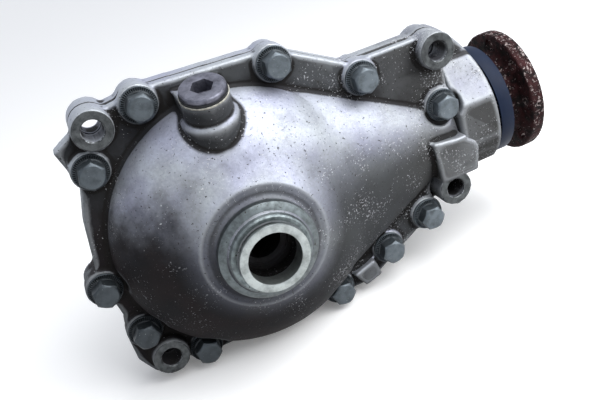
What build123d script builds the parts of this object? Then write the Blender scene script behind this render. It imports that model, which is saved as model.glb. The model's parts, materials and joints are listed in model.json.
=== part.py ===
from build123d import *
from math import acos, atan, cos, degrees, hypot, log, pi, radians, sin, sqrt, tan
import os

# Front differential: a side-cover final drive that bolts to the side of an engine.
# Frame, in millimetres: the output axis is Y, the origin is on it in the engine-side mounting plane,
# X runs along the pinion axis towards the companion flange, Z is up.

# Casing and cover, along Y
COVER_FACE = -170.0  # end of the output collar on the cover
ENGINE_FACE = 0.0  # mounting plane, where the casing meets the engine
JOINT_Y = -99.0  # parting plane between casing and cover
PLATE_THICK = 8.6  # cover flange between its bosses
SEAT_Y = -110.2  # where the cover bolts seat
BOSS_Y = -117.0  # front faces of the mounting bosses
CASING_FLANGE = 11.0
WALL = 5.2
PINION_Y = -75.0  # pinion axis, level with the output axis

# Cover bolts: M10 with flanged hexagon heads
BOLT_PLACES = [
    (-37.0, 93.3), (-75.8, 66.2), (-95.5, -7.2), (-83.7, -45.3), (-51.9, -74.7), (46.0, -76.1),
    (87.7, -61.6), (121.1, -49.3), (146.5, 23.3), (96.6, 60.6), (45.1, 88.5),
]
BOLT_R = 5.0
BOLT_CLEARANCE = 0.5
BOLT_FLATS = 15.0
BOLT_FLANGE_R = 10.9
BOLT_FLANGE_THICK = 3.4
BOLT_RIM = 1.6
BOLT_SKIRT_TAPER = 50.0
BOLT_HEAD = 11.0
BOLT_GRIP = 24.0  # length under the head
BOLT_BOSS_R = 11.7
CASING_BOSS_R = 11.0
HEAD_ROOM = 1.7  # round the bolt heads, in the casing
BOSS_STEP = 0.5  # by which the bosses stand proud of the flange's edge
POCKET_R = 13.6  # scallop in the dome round each head

# Mounting holes through the castings: M12 clearance
MOUNT_HOLE_R = 6.5
MOUNT_BOSS_R = 12.2
MOUNT_RELIEF = 2.3  # gap in the cover round the boss that the casing carries
MOUNT_FACE = -84.0  # back faces of the mounting bosses, against the engine
MOUNT_UPPER_LEFT = (-66.0, 90.0)
MOUNT_UPPER_RIGHT = (148.0, 61.0)
MOUNT_LOWER_LEFT = (-75.0, -68.0)
MOUNT_LOWER_RIGHT = (143.0, -36.0)

# Locating dowels in the joint
DOWEL_PLACES = [(-89.0, 26.0), (110.0, -57.0)]
DOWEL_R = 3.5
DOWEL_LENGTH = 12.0

# Outline of the joint flange, as (x, z)
FLANGE_OUTLINE = [
    (-56.0, 97.5), (-30.0, 101.0), (39.0, 97.0), (60.0, 89.0), (92.0, 71.0), (154.5, 71.0),
    (154.5, -26.0), (136.0, -45.0), (113.0, -60.0), (79.0, -79.0), (64.0, -83.0), (-50.0, -83.0),
    (-64.0, -72.0), (-70.0, -82.0), (-81.0, -84.0), (-88.0, -79.0), (-95.0, -66.0), (-95.5, -50.0),
    (-92.0, -33.0), (-97.0, 0.0), (-92.0, 33.0), (-84.0, 59.0),
]
EAR = [(-84.0, 57.0), (-91.0, 83.0), (-80.0, 89.0), (-60.0, 80.0)]
OUTLINE_CORNER = 5.0
PAD = [(58.0, -70.0), (65.0, -81.5), (78.0, -77.5), (75.0, -64.5)]  # raised between two bolts
PAD_FRONT = -114.0
# Slots at the joint's upper edge for prying the cover off, as (x, z, width)
PRY_SLOTS = [(121.0, 71.0, 32.0), (-48.0, 98.5, 12.0)]
PRY_HEIGHT = 6.0
PRY_DEPTH = 3.0

# Dome of the cover round the output axis, as (radius, y)
DOME = [(39.0, -152.0), (47.0, -146.5), (62.0, -138.5), (76.0, -127.5), (83.5, -116.0), (85.0, -104.0)]
CAVITY_R = 79.0
SHOULDER_Y = -152.0
ANNULUS_R = 30.4
ANNULUS_Y = -159.1
COLLAR_R = 24.5
COLLAR_END = -164.6

# Output seals
SEAL_R = 19.5
SEAL_RIM_R = 21.1
SEAL_RIM = 2.6
SEAL_LENGTH = 12.5
OUTPUT_R = 16.0  # output shaft where the seal runs on it

# Bulge of the cover over the pinion: half-ellipses that shrink towards the nose, as (x, half width, height)
BULGE_WIDE = (45.0, 74.0, 42.0)
BULGE_NARROW = (154.5, 18.0, 13.5)
BULGE_INSIDE_END = 112.0
COVER_END = 154.5
TUBE_GAP = 1.2
TUBE_NECK = (106.0, 120.0)  # where the casing's bearing tube narrows, along x
BORE_START = 69.0  # where the room for that tube starts

# Nose of the casing in front of the cover's end: its section as (z, height over the pinion axis)
NOSE_SECTION = [
    (-10.0, 43.0), (19.0, 43.0), (49.0, 22.5), (71.0, 22.5), (71.0, 8.0), (56.0, 6.0), (50.0, -15.0),
    (30.0, -40.0), (0.0, -46.0), (-30.0, -40.0), (-42.0, -15.0), (-42.0, 10.0), (-31.0, 29.0), (-20.0, 38.5),
]
NOSE_START = 155.1
NOSE_SHOULDER = [(150.0, 75.0), (172.0, 60.0)]  # as (x, radius), on the way to the end circle
NOSE_REAR = [(40.0, 52.0), (100.0, 49.0), (155.0, 43.0), (184.8, 40.2)]

# Bowl of the casing, as (radius, y), and its cavity
BOWL = [(86.0, -84.0), (64.0, -58.0), (58.0, -44.0), (42.0, -36.0)]
CAVITY = [(79.0, -86.0), (57.0, -63.0), (52.0, -51.0), (40.0, -46.0)]
HEAD_ROOM_R = 31.0
RIB_THICK = 6.0
RIB = [(36.0, -79.0), (84.0, -90.0), (84.0, -86.0), (66.0, -50.0), (38.0, -24.0)]  # as (radius, y)
BOWL_RIBS = [20.0, 62.0, 98.0, 148.0, 176.0, 262.0, 300.0]

# Tab of the cover over the foot of the nose, as (x, z)
TAB = [(130.0, 4.0), (148.0, 1.5), (156.5, -2.0), (160.5, -5.0), (162.3, -9.5), (159.3, -25.5), (132.0, -26.0)]
TAB_FRONT = -123.0
TAB_THICK = 4.7

# Filler plug, tilted forwards over the top of the dome: M22 with a hollow hexagon
PLUG_SEAT = (-2.8, -130.5, 92.5)
PLUG_TILT = 19.0
PLUG_R = 11.0
PLUG_COLLAR_R = 13.5
PLUG_COLLAR = 3.2
PLUG_CHAMFER = 0.8
PLUG_LENGTH = 14.0
PLUG_SOCKET = 12.0
PLUG_SOCKET_DEPTH = 8.0
PLUG_HOLE = 26.0
PLUG_WASHER = 1.5
PLUG_WASHER_R = 14.1
PLUG_BOSS = [(14.3, 0.0), (14.3, -12.5), (17.0, -15.5), (17.8, -20.0), (19.5, -32.0)]  # as (radius, height)
PLUG_BRIDGE = (28.0, 26.0, 93.0)  # block behind the boss: width, height, top
PLUG_BRIDGE_FRONT = -122.0

# Carrier bearings, in the casing and the cover: 40 x 68 x 19 taper rollers
CARRIER_BORE_R = 20.0
CARRIER_OUTER_R = 34.0
CARRIER_WIDTH = 19.0
CARRIER_CUP_WIDTH = 14.5
SHIM = 1.2
SHIM_WIDTH = 5.0
CASE_CENTRE = -86.0
CASE_SHOULDER = 41.0  # bearing shoulders, from the middle of the differential case

# Differential case
CASE_OUTER_R = 48.0
CASE_INNER_R = 42.0
CASE_CHEEK = 34.0  # inner side walls, from its middle
CASE_FLANGE_R = 64.0
CASE_FLANGE = 6.0
RING_PILOT_R = 50.0
RING_BACK = -117.0
PILOT_END = -102.0
WINDOW_WIDTH = 44.0
WINDOW_LENGTH = 36.0
WINDOW_CORNER = 9.0
RING_BOLT_COUNT = 10
RING_BOLT_CIRCLE_R = 56.0
RING_BOLT_R = 4.5
RING_BOLT_FLATS = 13.0
RING_BOLT_HEAD = 5.0
RING_BOLT_DEPTH = 12.0
DRILL_SPARE = 1.0  # by which a blind hole is deeper than its bolt
CROSS_PIN_R = 8.0
CROSS_PIN_END = 47.0
LOCK_PIN_R = 2.0
LOCK_PIN_Z = 44.6
LOCK_PIN_LENGTH = 27.0
LOCK_PIN_SUNK = 6.0

# Ring gear and pinion: spiral bevel, 40 and 13 teeth, module 3.75 at the outer end
RING_TEETH = 40
PINION_TEETH = 13
DRIVE_MODULE = 3.75
DRIVE_FACE = 23.0
DRIVE_SPIRAL = 35.0
DRIVE_PRESSURE = 24.0
DRIVE_WORKING_DEPTH = 1.7  # in modules, as are the next two
DRIVE_RING_ADDENDUM = 0.5
DRIVE_TIP_CLEARANCE = 0.19
DRIVE_BACKLASH = 0.9
RING_HEEL_DEPTH = 2.2  # from the tips to the lower edge of the heel, in tooth depths
RING_TOE_RIM = 0.8  # under the tooth roots at the toe
DRIVE_THICKNESS_SHIFT = 1.15  # added to the pinion's tooth, taken from the ring's

# Overruns of the tooth cutters past the toe, the heel and the tips
TOE_OVERRUN = 1.5
HEEL_OVERRUN = 2.0
TIP_OVERRUN = 1.0

# Side and spider gears: straight bevel
SIDE_TEETH = 14
SPIDER_TEETH = 10
DIFF_MODULE = 4.19
DIFF_FACE = 13.0
DIFF_PRESSURE = 25.0
DIFF_WORKING_DEPTH = 1.6
DIFF_SIDE_ADDENDUM = 0.65
DIFF_TIP_CLEARANCE = 0.15
DIFF_BACKLASH = 0.6
DIFF_THICKNESS_SHIFT = 0.6
SIDE_HUB_R = 15.5
SIDE_SPLINE_R = 12.0
SIDE_THRUST = 33.0  # thrust face, from the middle of the case
SIDE_THRUST_R = 24.0
SIDE_HUB_END = 56.0
SPIDER_BACK_R = 40.8
WASHER_GAP = 0.15
WASHER_BORE_CLEARANCE = 0.2
RUNNING_CLEARANCE = 0.05

# Pinion line, along X
HEAD_BACK = 80.0  # shoulder against the inner bearing
INNER_BEARING = (17.5, 32.5, 20.0, 15.5)  # bore radius, outer radius, width, cup width
OUTER_BEARING = (15.0, 27.5, 17.0, 13.0)
OUTER_BEARING_X = 155.0
PINION_SHIM = 1.0
CARRIER_TUBE_R = 37.0
SEAL_LIP = 2.0  # height of the lips over the shaft, and their length
SEAL_LIP_SLOPE = 3.5
BETWEEN_R = 20.0  # bore of the nose between the bearings
NOSE_TUBE_R = 28.0
SLEEVE_R = 17.4
SLEEVE_NECK = 1.0  # by which its ends are thinner
SLEEVE_BULGE = 6.0  # half length of its bulge
NOSE_END = 184.8
NOSE_END_R = 40.2
PINION_SEAL_R = 31.0
PINION_SEAL_X = 175.0
PINION_SEAL_LENGTH = 9.0
FLANGE_HUB_R = 20.0
FLANGE_NECK_R = 28.0
FLANGE_NECK_X = 186.4
FLANGE_FILLET = 3.0  # between the neck and the disc
FLANGE_BREAK = 1.0  # chamfer of the rim
FLANGE_R = 43.7
FLANGE_FACE = 219.0
FLANGE_THICK = 10.0
FLANGE_RECESS_R = 21.0
FLANGE_RECESS_DEPTH = 9.0
FLANGE_HOLES = 8
FLANGE_HOLE_CIRCLE_R = 35.5
FLANGE_HOLE_R = 4.2
PINION_SPLINE_R = 13.0
PINION_THREAD_R = 10.0
PINION_END = 223.0
NUT_FLATS = 30.0
NUT_THICK = 11.0
DEFLECTOR_R = 39.0
DEFLECTOR_START = 187.2
DEFLECTOR_END = 197.2
DEFLECTOR_WALL = 1.4

os.makedirs("parts", exist_ok=True)

PINION_AXIS = Axis((0, PINION_Y, 0), (1, 0, 0))
# Profiles of pieces on the pinion axis are drawn on this plane as (x, radius)
PINION_PROFILE = Plane.XZ.offset(-PINION_Y)


def facing(y):
    """Plane square to Y that looks out of the cover, drawn on as (x, z)."""
    return Plane.XZ.offset(-y)


def to_engine_side(point):
    """A profile point (radius, y) carried from the cover's collar to the casing's."""
    radius, y = point
    return (radius, COVER_FACE + ENGINE_FACE - y)


def finish(builder, name):
    """Label a finished piece and write it."""
    builder.part.label = name
    export_step(builder.part, f"parts/{name}.step")


# Bevel gear geometry. A gear is drawn with its apex at the origin and its axis on +Z.

def involute(base_r, radius):
    """Polar angle that an involute gains from its base circle, in radians."""
    if radius <= base_r:
        return 0.0
    pressure = acos(base_r / radius)
    return tan(pressure) - pressure


def tooth_space(cone, outer, face, pressure, space, above, below, spiral):
    """Cutter for one tooth space of a bevel gear.

    cone is the pitch angle, outer the cone distance, space the width of the space on the pitch circle,
    above and below its reach over and under the pitch cone, spiral the spiral angle. Each section is
    the tooth space of the equivalent spur gear, square to the pitch cone.
    """
    sections = 4 if spiral else 2
    start = outer - face - TOE_OVERRUN
    stop = outer + HEEL_OVERRUN
    middle = outer - face / 2
    virtual_r = outer * tan(radians(cone))
    base_r = virtual_r * cos(radians(pressure))

    def half_angle(radius):
        return space / 2 / virtual_r + involute(base_r, radius) - involute(base_r, virtual_r)

    radii = [virtual_r - below, virtual_r + (above - below) / 2, virtual_r + above]
    flank = [(r * sin(half_angle(r)), r * cos(half_angle(r)) - virtual_r) for r in radii]
    with BuildPart() as cutter:
        for step in range(sections):
            distance = start + (stop - start) * step / (sections - 1)
            turn = degrees(tan(radians(spiral)) * log(distance / middle) / sin(radians(cone)))
            scale = distance / outer
            line = Vector(sin(radians(cone)), 0, cos(radians(cone))).rotate(Axis.Z, turn)
            tangent = Vector(0, -1, 0).rotate(Axis.Z, turn)
            root, middle_point, tip = [(u * scale, v * scale) for u, v in flank]
            with BuildSketch(Plane(origin=line * distance, x_dir=tangent, z_dir=line)):
                with BuildLine():
                    ThreePointArc(root, middle_point, tip)
                    Line(tip, (-tip[0], tip[1]))
                    ThreePointArc((-tip[0], tip[1]), (-middle_point[0], middle_point[1]), (-root[0], root[1]))
                    Line((-root[0], root[1]), root)
                make_face()
        loft(ruled=not spiral)
    return cutter.part


def cone_point(cone, distance, depth):
    """Point (radius, height) at a cone distance, with depth over the pitch cone at its outer end."""
    c = radians(cone)
    return (distance * sin(c) + depth * cos(c), distance * cos(c) - depth * sin(c))


def bevel_blank(profile, space, teeth, first):
    """Bevel gear from its (radius, height) profile and the cutter for its tooth spaces."""
    with BuildPart() as gear:
        with BuildSketch(Plane.XZ):
            with BuildLine():
                Polyline(*profile, close=True)
            make_face()
        revolve(axis=Axis.Z)
        with PolarLocations(0, teeth, start_angle=first):
            add(space, mode=Mode.SUBTRACT)
    return gear.part


def bevel_pair(module, teeth, mate_teeth):
    """Pitch angle and outer cone distance of a bevel gear whose shaft is square to its mate's."""
    return degrees(atan(teeth / mate_teeth)), module / 2 * hypot(teeth, mate_teeth)


# Ring gear and pinion

RING_CONE, DRIVE_OUTER = bevel_pair(DRIVE_MODULE, RING_TEETH, PINION_TEETH)
PINION_CONE = 90 - RING_CONE
RING_ABOVE = DRIVE_RING_ADDENDUM * DRIVE_MODULE
PINION_ABOVE = DRIVE_WORKING_DEPTH * DRIVE_MODULE - RING_ABOVE
RING_BELOW = PINION_ABOVE + DRIVE_TIP_CLEARANCE * DRIVE_MODULE
PINION_BELOW = RING_ABOVE + DRIVE_TIP_CLEARANCE * DRIVE_MODULE
HALF_PITCH = pi * DRIVE_MODULE / 2
RING_SPACE = HALF_PITCH + DRIVE_THICKNESS_SHIFT + DRIVE_BACKLASH / 2
PINION_SPACE = HALF_PITCH - DRIVE_THICKNESS_SHIFT + DRIVE_BACKLASH / 2
INNER_SCALE = 1 - DRIVE_FACE / DRIVE_OUTER
DRIVE_INNER = DRIVE_OUTER - DRIVE_FACE

ring_space = tooth_space(RING_CONE, DRIVE_OUTER, DRIVE_FACE, DRIVE_PRESSURE, RING_SPACE,
                         RING_ABOVE + TIP_OVERRUN, RING_BELOW, DRIVE_SPIRAL)
pinion_space = tooth_space(PINION_CONE, DRIVE_OUTER, DRIVE_FACE, DRIVE_PRESSURE, PINION_SPACE,
                           PINION_ABOVE + TIP_OVERRUN, PINION_BELOW, -DRIVE_SPIRAL)

ring_back = PINION_Y - RING_BACK
ring_tip = cone_point(RING_CONE, DRIVE_OUTER, RING_ABOVE)
ring_heel_depth = RING_ABOVE - RING_HEEL_DEPTH * (RING_ABOVE + RING_BELOW)
ring_heel = cone_point(RING_CONE, DRIVE_OUTER, ring_heel_depth)
ring_toe = cone_point(RING_CONE, DRIVE_INNER, RING_ABOVE * INNER_SCALE)
ring_toe_root = cone_point(RING_CONE, DRIVE_INNER, -(RING_BELOW + RING_TOE_RIM) * INNER_SCALE)
ring_blank = bevel_blank(
    [ring_toe, ring_tip, ring_heel, (ring_heel[0], ring_back), (RING_PILOT_R, ring_back),
     (RING_PILOT_R, ring_toe_root[1]), ring_toe_root],
    ring_space, RING_TEETH, 180 / RING_TEETH)

RING_FRAME = Plane(origin=(0, PINION_Y, 0), x_dir=(1, 0, 0), z_dir=(0, -1, 0))
with BuildPart() as ring_gear:
    with Locations(RING_FRAME.location):
        add(ring_blank)
    with BuildSketch(facing(RING_BACK)):
        with PolarLocations(RING_BOLT_CIRCLE_R, RING_BOLT_COUNT):
            Circle(RING_BOLT_R)
    extrude(amount=-RING_BOLT_DEPTH - DRILL_SPARE, mode=Mode.SUBTRACT)
finish(ring_gear, "ring_gear")

pinion_heel = cone_point(PINION_CONE, DRIVE_OUTER, PINION_ABOVE)
pinion_heel_root = cone_point(PINION_CONE, DRIVE_OUTER, -PINION_BELOW)
pinion_toe = cone_point(PINION_CONE, DRIVE_INNER, PINION_ABOVE * INNER_SCALE)
pinion_toe_root = cone_point(PINION_CONE, DRIVE_INNER, -PINION_BELOW * INNER_SCALE)
inner_bore_r, inner_outer_r, inner_width = INNER_BEARING[:3]
outer_bore_r, outer_outer_r, outer_width = OUTER_BEARING[:3]
INNER_BEARING_X = HEAD_BACK + PINION_SHIM
OUTER_STOP = OUTER_BEARING_X + outer_width
NUT_SEAT = FLANGE_FACE - FLANGE_RECESS_DEPTH
pinion_head = bevel_blank(
    [pinion_toe, pinion_heel, pinion_heel_root, (pinion_heel_root[0], HEAD_BACK),
     (inner_bore_r, HEAD_BACK), (inner_bore_r, INNER_BEARING_X + inner_width),
     (outer_bore_r, INNER_BEARING_X + inner_width), (outer_bore_r, OUTER_STOP),
     (PINION_SPLINE_R, OUTER_STOP), (PINION_SPLINE_R, NUT_SEAT), (PINION_THREAD_R, NUT_SEAT),
     (PINION_THREAD_R, PINION_END), (0, PINION_END), (0, pinion_toe_root[1]), pinion_toe_root],
    pinion_space, PINION_TEETH, 0)

PINION_FRAME = Plane(origin=(0, PINION_Y, 0), x_dir=(0, -1, 0), z_dir=(1, 0, 0))
with BuildPart() as pinion_shaft:
    with Locations(PINION_FRAME.location):
        add(pinion_head)
finish(pinion_shaft, "pinion_shaft")


# Side and spider gears

SIDE_CONE, DIFF_OUTER = bevel_pair(DIFF_MODULE, SIDE_TEETH, SPIDER_TEETH)
SPIDER_CONE = 90 - SIDE_CONE
SIDE_ABOVE = DIFF_SIDE_ADDENDUM * DIFF_MODULE
SPIDER_ABOVE = DIFF_WORKING_DEPTH * DIFF_MODULE - SIDE_ABOVE
SIDE_BELOW = SPIDER_ABOVE + DIFF_TIP_CLEARANCE * DIFF_MODULE
SPIDER_BELOW = SIDE_ABOVE + DIFF_TIP_CLEARANCE * DIFF_MODULE
DIFF_HALF_PITCH = pi * DIFF_MODULE / 2
SIDE_SPACE = DIFF_HALF_PITCH + DIFF_THICKNESS_SHIFT + DIFF_BACKLASH / 2
SPIDER_SPACE = DIFF_HALF_PITCH - DIFF_THICKNESS_SHIFT + DIFF_BACKLASH / 2
DIFF_INNER = DIFF_OUTER - DIFF_FACE
DIFF_SCALE = DIFF_INNER / DIFF_OUTER

side_space = tooth_space(SIDE_CONE, DIFF_OUTER, DIFF_FACE, DIFF_PRESSURE, SIDE_SPACE,
                         SIDE_ABOVE + TIP_OVERRUN, SIDE_BELOW, 0)
spider_space = tooth_space(SPIDER_CONE, DIFF_OUTER, DIFF_FACE, DIFF_PRESSURE, SPIDER_SPACE,
                           SPIDER_ABOVE + TIP_OVERRUN, SPIDER_BELOW, 0)

side_heel = cone_point(SIDE_CONE, DIFF_OUTER, SIDE_ABOVE)
side_heel_root = cone_point(SIDE_CONE, DIFF_OUTER, -SIDE_BELOW)
side_toe = cone_point(SIDE_CONE, DIFF_INNER, SIDE_ABOVE * DIFF_SCALE)
side_toe_root = cone_point(SIDE_CONE, DIFF_INNER, -SIDE_BELOW * DIFF_SCALE)
side_blank = bevel_blank(
    [side_toe, side_heel, side_heel_root, (SIDE_THRUST_R, side_heel_root[1]), (SIDE_THRUST_R, SIDE_THRUST),
     (SIDE_HUB_R, SIDE_THRUST), (SIDE_HUB_R, SIDE_HUB_END), (SIDE_SPLINE_R, SIDE_HUB_END),
     (SIDE_SPLINE_R, side_toe_root[1]), side_toe_root],
    side_space, SIDE_TEETH, 180 / SIDE_TEETH)

spider_heel = cone_point(SPIDER_CONE, DIFF_OUTER, SPIDER_ABOVE)
spider_heel_root = cone_point(SPIDER_CONE, DIFF_OUTER, -SPIDER_BELOW)
spider_toe = cone_point(SPIDER_CONE, DIFF_INNER, SPIDER_ABOVE * DIFF_SCALE)
spider_toe_root = cone_point(SPIDER_CONE, DIFF_INNER, -SPIDER_BELOW * DIFF_SCALE)
SPIDER_BORE_R = CROSS_PIN_R + RUNNING_CLEARANCE
spider_blank = bevel_blank(
    [spider_toe, spider_heel, spider_heel_root, (spider_heel_root[0], SPIDER_BACK_R),
     (SPIDER_BORE_R, SPIDER_BACK_R), (SPIDER_BORE_R, spider_toe_root[1]), spider_toe_root],
    spider_space, SPIDER_TEETH, 0)

MIDDLE = (0, CASE_CENTRE, 0)
LEFT_FRAME = Plane(origin=MIDDLE, x_dir=(0, 0, 1), z_dir=(0, -1, 0))
RIGHT_FRAME = Plane(origin=MIDDLE, x_dir=(0, 0, 1), z_dir=(0, 1, 0))
UPPER_FRAME = Plane(origin=MIDDLE, x_dir=(0, 1, 0), z_dir=(0, 0, 1))
LOWER_FRAME = Plane(origin=MIDDLE, x_dir=(0, 1, 0), z_dir=(0, 0, -1))

for side, frame in (("left", LEFT_FRAME), ("right", RIGHT_FRAME)):
    with BuildPart() as side_gear:
        with Locations(frame.location):
            add(side_blank)
    finish(side_gear, f"side_gear_{side}")
    with BuildPart() as thrust_washer:
        with BuildSketch(frame.offset(SIDE_THRUST + WASHER_GAP)):
            Circle(SIDE_THRUST_R)
            Circle(SIDE_HUB_R + WASHER_BORE_CLEARANCE, mode=Mode.SUBTRACT)
        extrude(amount=CASE_CHEEK - SIDE_THRUST - WASHER_GAP)
    finish(thrust_washer, f"side_washer_{side}")

for number, frame in ((1, UPPER_FRAME), (2, LOWER_FRAME)):
    with BuildPart() as spider:
        with Locations(frame.location):
            add(spider_blank)
        with Locations(MIDDLE):
            Sphere(SPIDER_BACK_R, mode=Mode.INTERSECT)
    finish(spider, f"spider_gear_{number}")
    with BuildPart() as cup_washer:
        with Locations(MIDDLE):
            Sphere(CASE_INNER_R)
            Sphere(SPIDER_BACK_R + WASHER_GAP, mode=Mode.SUBTRACT)
        with BuildSketch(frame):
            Circle(spider_heel_root[0])
            Circle(SPIDER_BORE_R, mode=Mode.SUBTRACT)
        extrude(amount=CASE_OUTER_R, mode=Mode.INTERSECT)
    finish(cup_washer, f"spider_washer_{number}")


# Differential case, turned about the output axis from a profile drawn as (radius, y)

def on_sphere(sphere_r, radius, side):
    """Point (radius, y) of a sphere about the middle of the case, on one side of it."""
    return (radius, CASE_CENTRE + side * sqrt(sphere_r ** 2 - radius ** 2))


def at_height(sphere_r, y):
    """Point (radius, y) of the same sphere at a given y."""
    return (sqrt(sphere_r ** 2 - (y - CASE_CENTRE) ** 2), y)


SHOULDER_RING_R = 26.0
LEFT_SHOULDER = CASE_CENTRE - CASE_SHOULDER
RIGHT_SHOULDER = CASE_CENTRE + CASE_SHOULDER
CASE_LEFT_END = LEFT_SHOULDER - CARRIER_WIDTH
CASE_RIGHT_END = RIGHT_SHOULDER + CARRIER_WIDTH
HUB_BORE_R = SIDE_HUB_R + RUNNING_CLEARANCE
FLANGE_LEFT = RING_BACK - CASE_FLANGE
cheek_r = sqrt(CASE_INNER_R ** 2 - CASE_CHEEK ** 2)

with BuildPart() as differential_case:
    with BuildSketch(Plane.XY):
        with BuildLine():
            Polyline((HUB_BORE_R, CASE_LEFT_END), (CARRIER_BORE_R, CASE_LEFT_END),
                     (CARRIER_BORE_R, LEFT_SHOULDER), (SHOULDER_RING_R, LEFT_SHOULDER),
                     on_sphere(CASE_OUTER_R, SHOULDER_RING_R, -1))
            ThreePointArc(on_sphere(CASE_OUTER_R, SHOULDER_RING_R, -1),
                          at_height(CASE_OUTER_R, (LEFT_SHOULDER + FLANGE_LEFT) / 2),
                          at_height(CASE_OUTER_R, FLANGE_LEFT))
            Polyline(at_height(CASE_OUTER_R, FLANGE_LEFT), (CASE_FLANGE_R, FLANGE_LEFT),
                     (CASE_FLANGE_R, RING_BACK), (RING_PILOT_R, RING_BACK), (RING_PILOT_R, PILOT_END),
                     at_height(CASE_OUTER_R, PILOT_END))
            ThreePointArc(at_height(CASE_OUTER_R, PILOT_END), at_height(CASE_OUTER_R, CASE_CENTRE),
                          on_sphere(CASE_OUTER_R, SHOULDER_RING_R, 1))
            Polyline(on_sphere(CASE_OUTER_R, SHOULDER_RING_R, 1), (SHOULDER_RING_R, RIGHT_SHOULDER),
                     (CARRIER_BORE_R, RIGHT_SHOULDER), (CARRIER_BORE_R, CASE_RIGHT_END),
                     (HUB_BORE_R, CASE_RIGHT_END), (HUB_BORE_R, CASE_CENTRE + CASE_CHEEK),
                     (cheek_r, CASE_CENTRE + CASE_CHEEK))
            ThreePointArc((cheek_r, CASE_CENTRE + CASE_CHEEK), (CASE_INNER_R, CASE_CENTRE),
                          (cheek_r, CASE_CENTRE - CASE_CHEEK))
            Polyline((cheek_r, CASE_CENTRE - CASE_CHEEK), (HUB_BORE_R, CASE_CENTRE - CASE_CHEEK),
                     (HUB_BORE_R, CASE_LEFT_END))
        make_face()
    revolve(axis=Axis.Y)
    # Windows that the gears go in by
    with BuildSketch(Plane(origin=MIDDLE, x_dir=(0, 1, 0), z_dir=(1, 0, 0))):
        RectangleRounded(WINDOW_LENGTH, WINDOW_WIDTH, WINDOW_CORNER)
    extrude(amount=CASE_OUTER_R, both=True, mode=Mode.SUBTRACT)
    with BuildSketch(Plane(origin=MIDDLE, z_dir=(0, 0, 1))):
        Circle(CROSS_PIN_R)
    extrude(amount=CASE_FLANGE_R, both=True, mode=Mode.SUBTRACT)
    with BuildSketch(facing(RING_BACK)):
        with PolarLocations(RING_BOLT_CIRCLE_R, RING_BOLT_COUNT):
            Circle(RING_BOLT_R)
    extrude(amount=CASE_FLANGE, mode=Mode.SUBTRACT)
    with BuildSketch(facing(FLANGE_LEFT)):
        with Locations((0, LOCK_PIN_Z)):
            Circle(LOCK_PIN_R)
    extrude(amount=-(CASE_CENTRE - FLANGE_LEFT), mode=Mode.SUBTRACT)
finish(differential_case, "differential_case")

LOCK_PIN_TIP = FLANGE_LEFT + LOCK_PIN_SUNK + LOCK_PIN_LENGTH
with BuildPart() as cross_pin:
    with BuildSketch(Plane(origin=MIDDLE, z_dir=(0, 0, 1))):
        Circle(CROSS_PIN_R)
    extrude(amount=CROSS_PIN_END, both=True)
    with BuildSketch(facing(FLANGE_LEFT)):
        with Locations((0, LOCK_PIN_Z)):
            Circle(LOCK_PIN_R)
    extrude(amount=-(LOCK_PIN_TIP - FLANGE_LEFT), mode=Mode.SUBTRACT)
finish(cross_pin, "cross_pin")

with BuildPart() as cross_pin_lock:
    with BuildSketch(facing(LOCK_PIN_TIP - LOCK_PIN_LENGTH)):
        with Locations((0, LOCK_PIN_Z)):
            Circle(LOCK_PIN_R)
    extrude(amount=-LOCK_PIN_LENGTH)
finish(cross_pin_lock, "cross_pin_lock")

with BuildPart() as ring_gear_bolts:
    with BuildSketch(facing(FLANGE_LEFT)):
        with PolarLocations(RING_BOLT_CIRCLE_R, RING_BOLT_COUNT):
            RegularPolygon(RING_BOLT_FLATS / 2, 6, major_radius=False)
    extrude(amount=RING_BOLT_HEAD)
    with BuildSketch(facing(FLANGE_LEFT)):
        with PolarLocations(RING_BOLT_CIRCLE_R, RING_BOLT_COUNT):
            Circle(RING_BOLT_R)
    extrude(amount=-CASE_FLANGE - RING_BOLT_DEPTH)
finish(ring_gear_bolts, "ring_gear_bolts")


# Taper roller bearings

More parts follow.
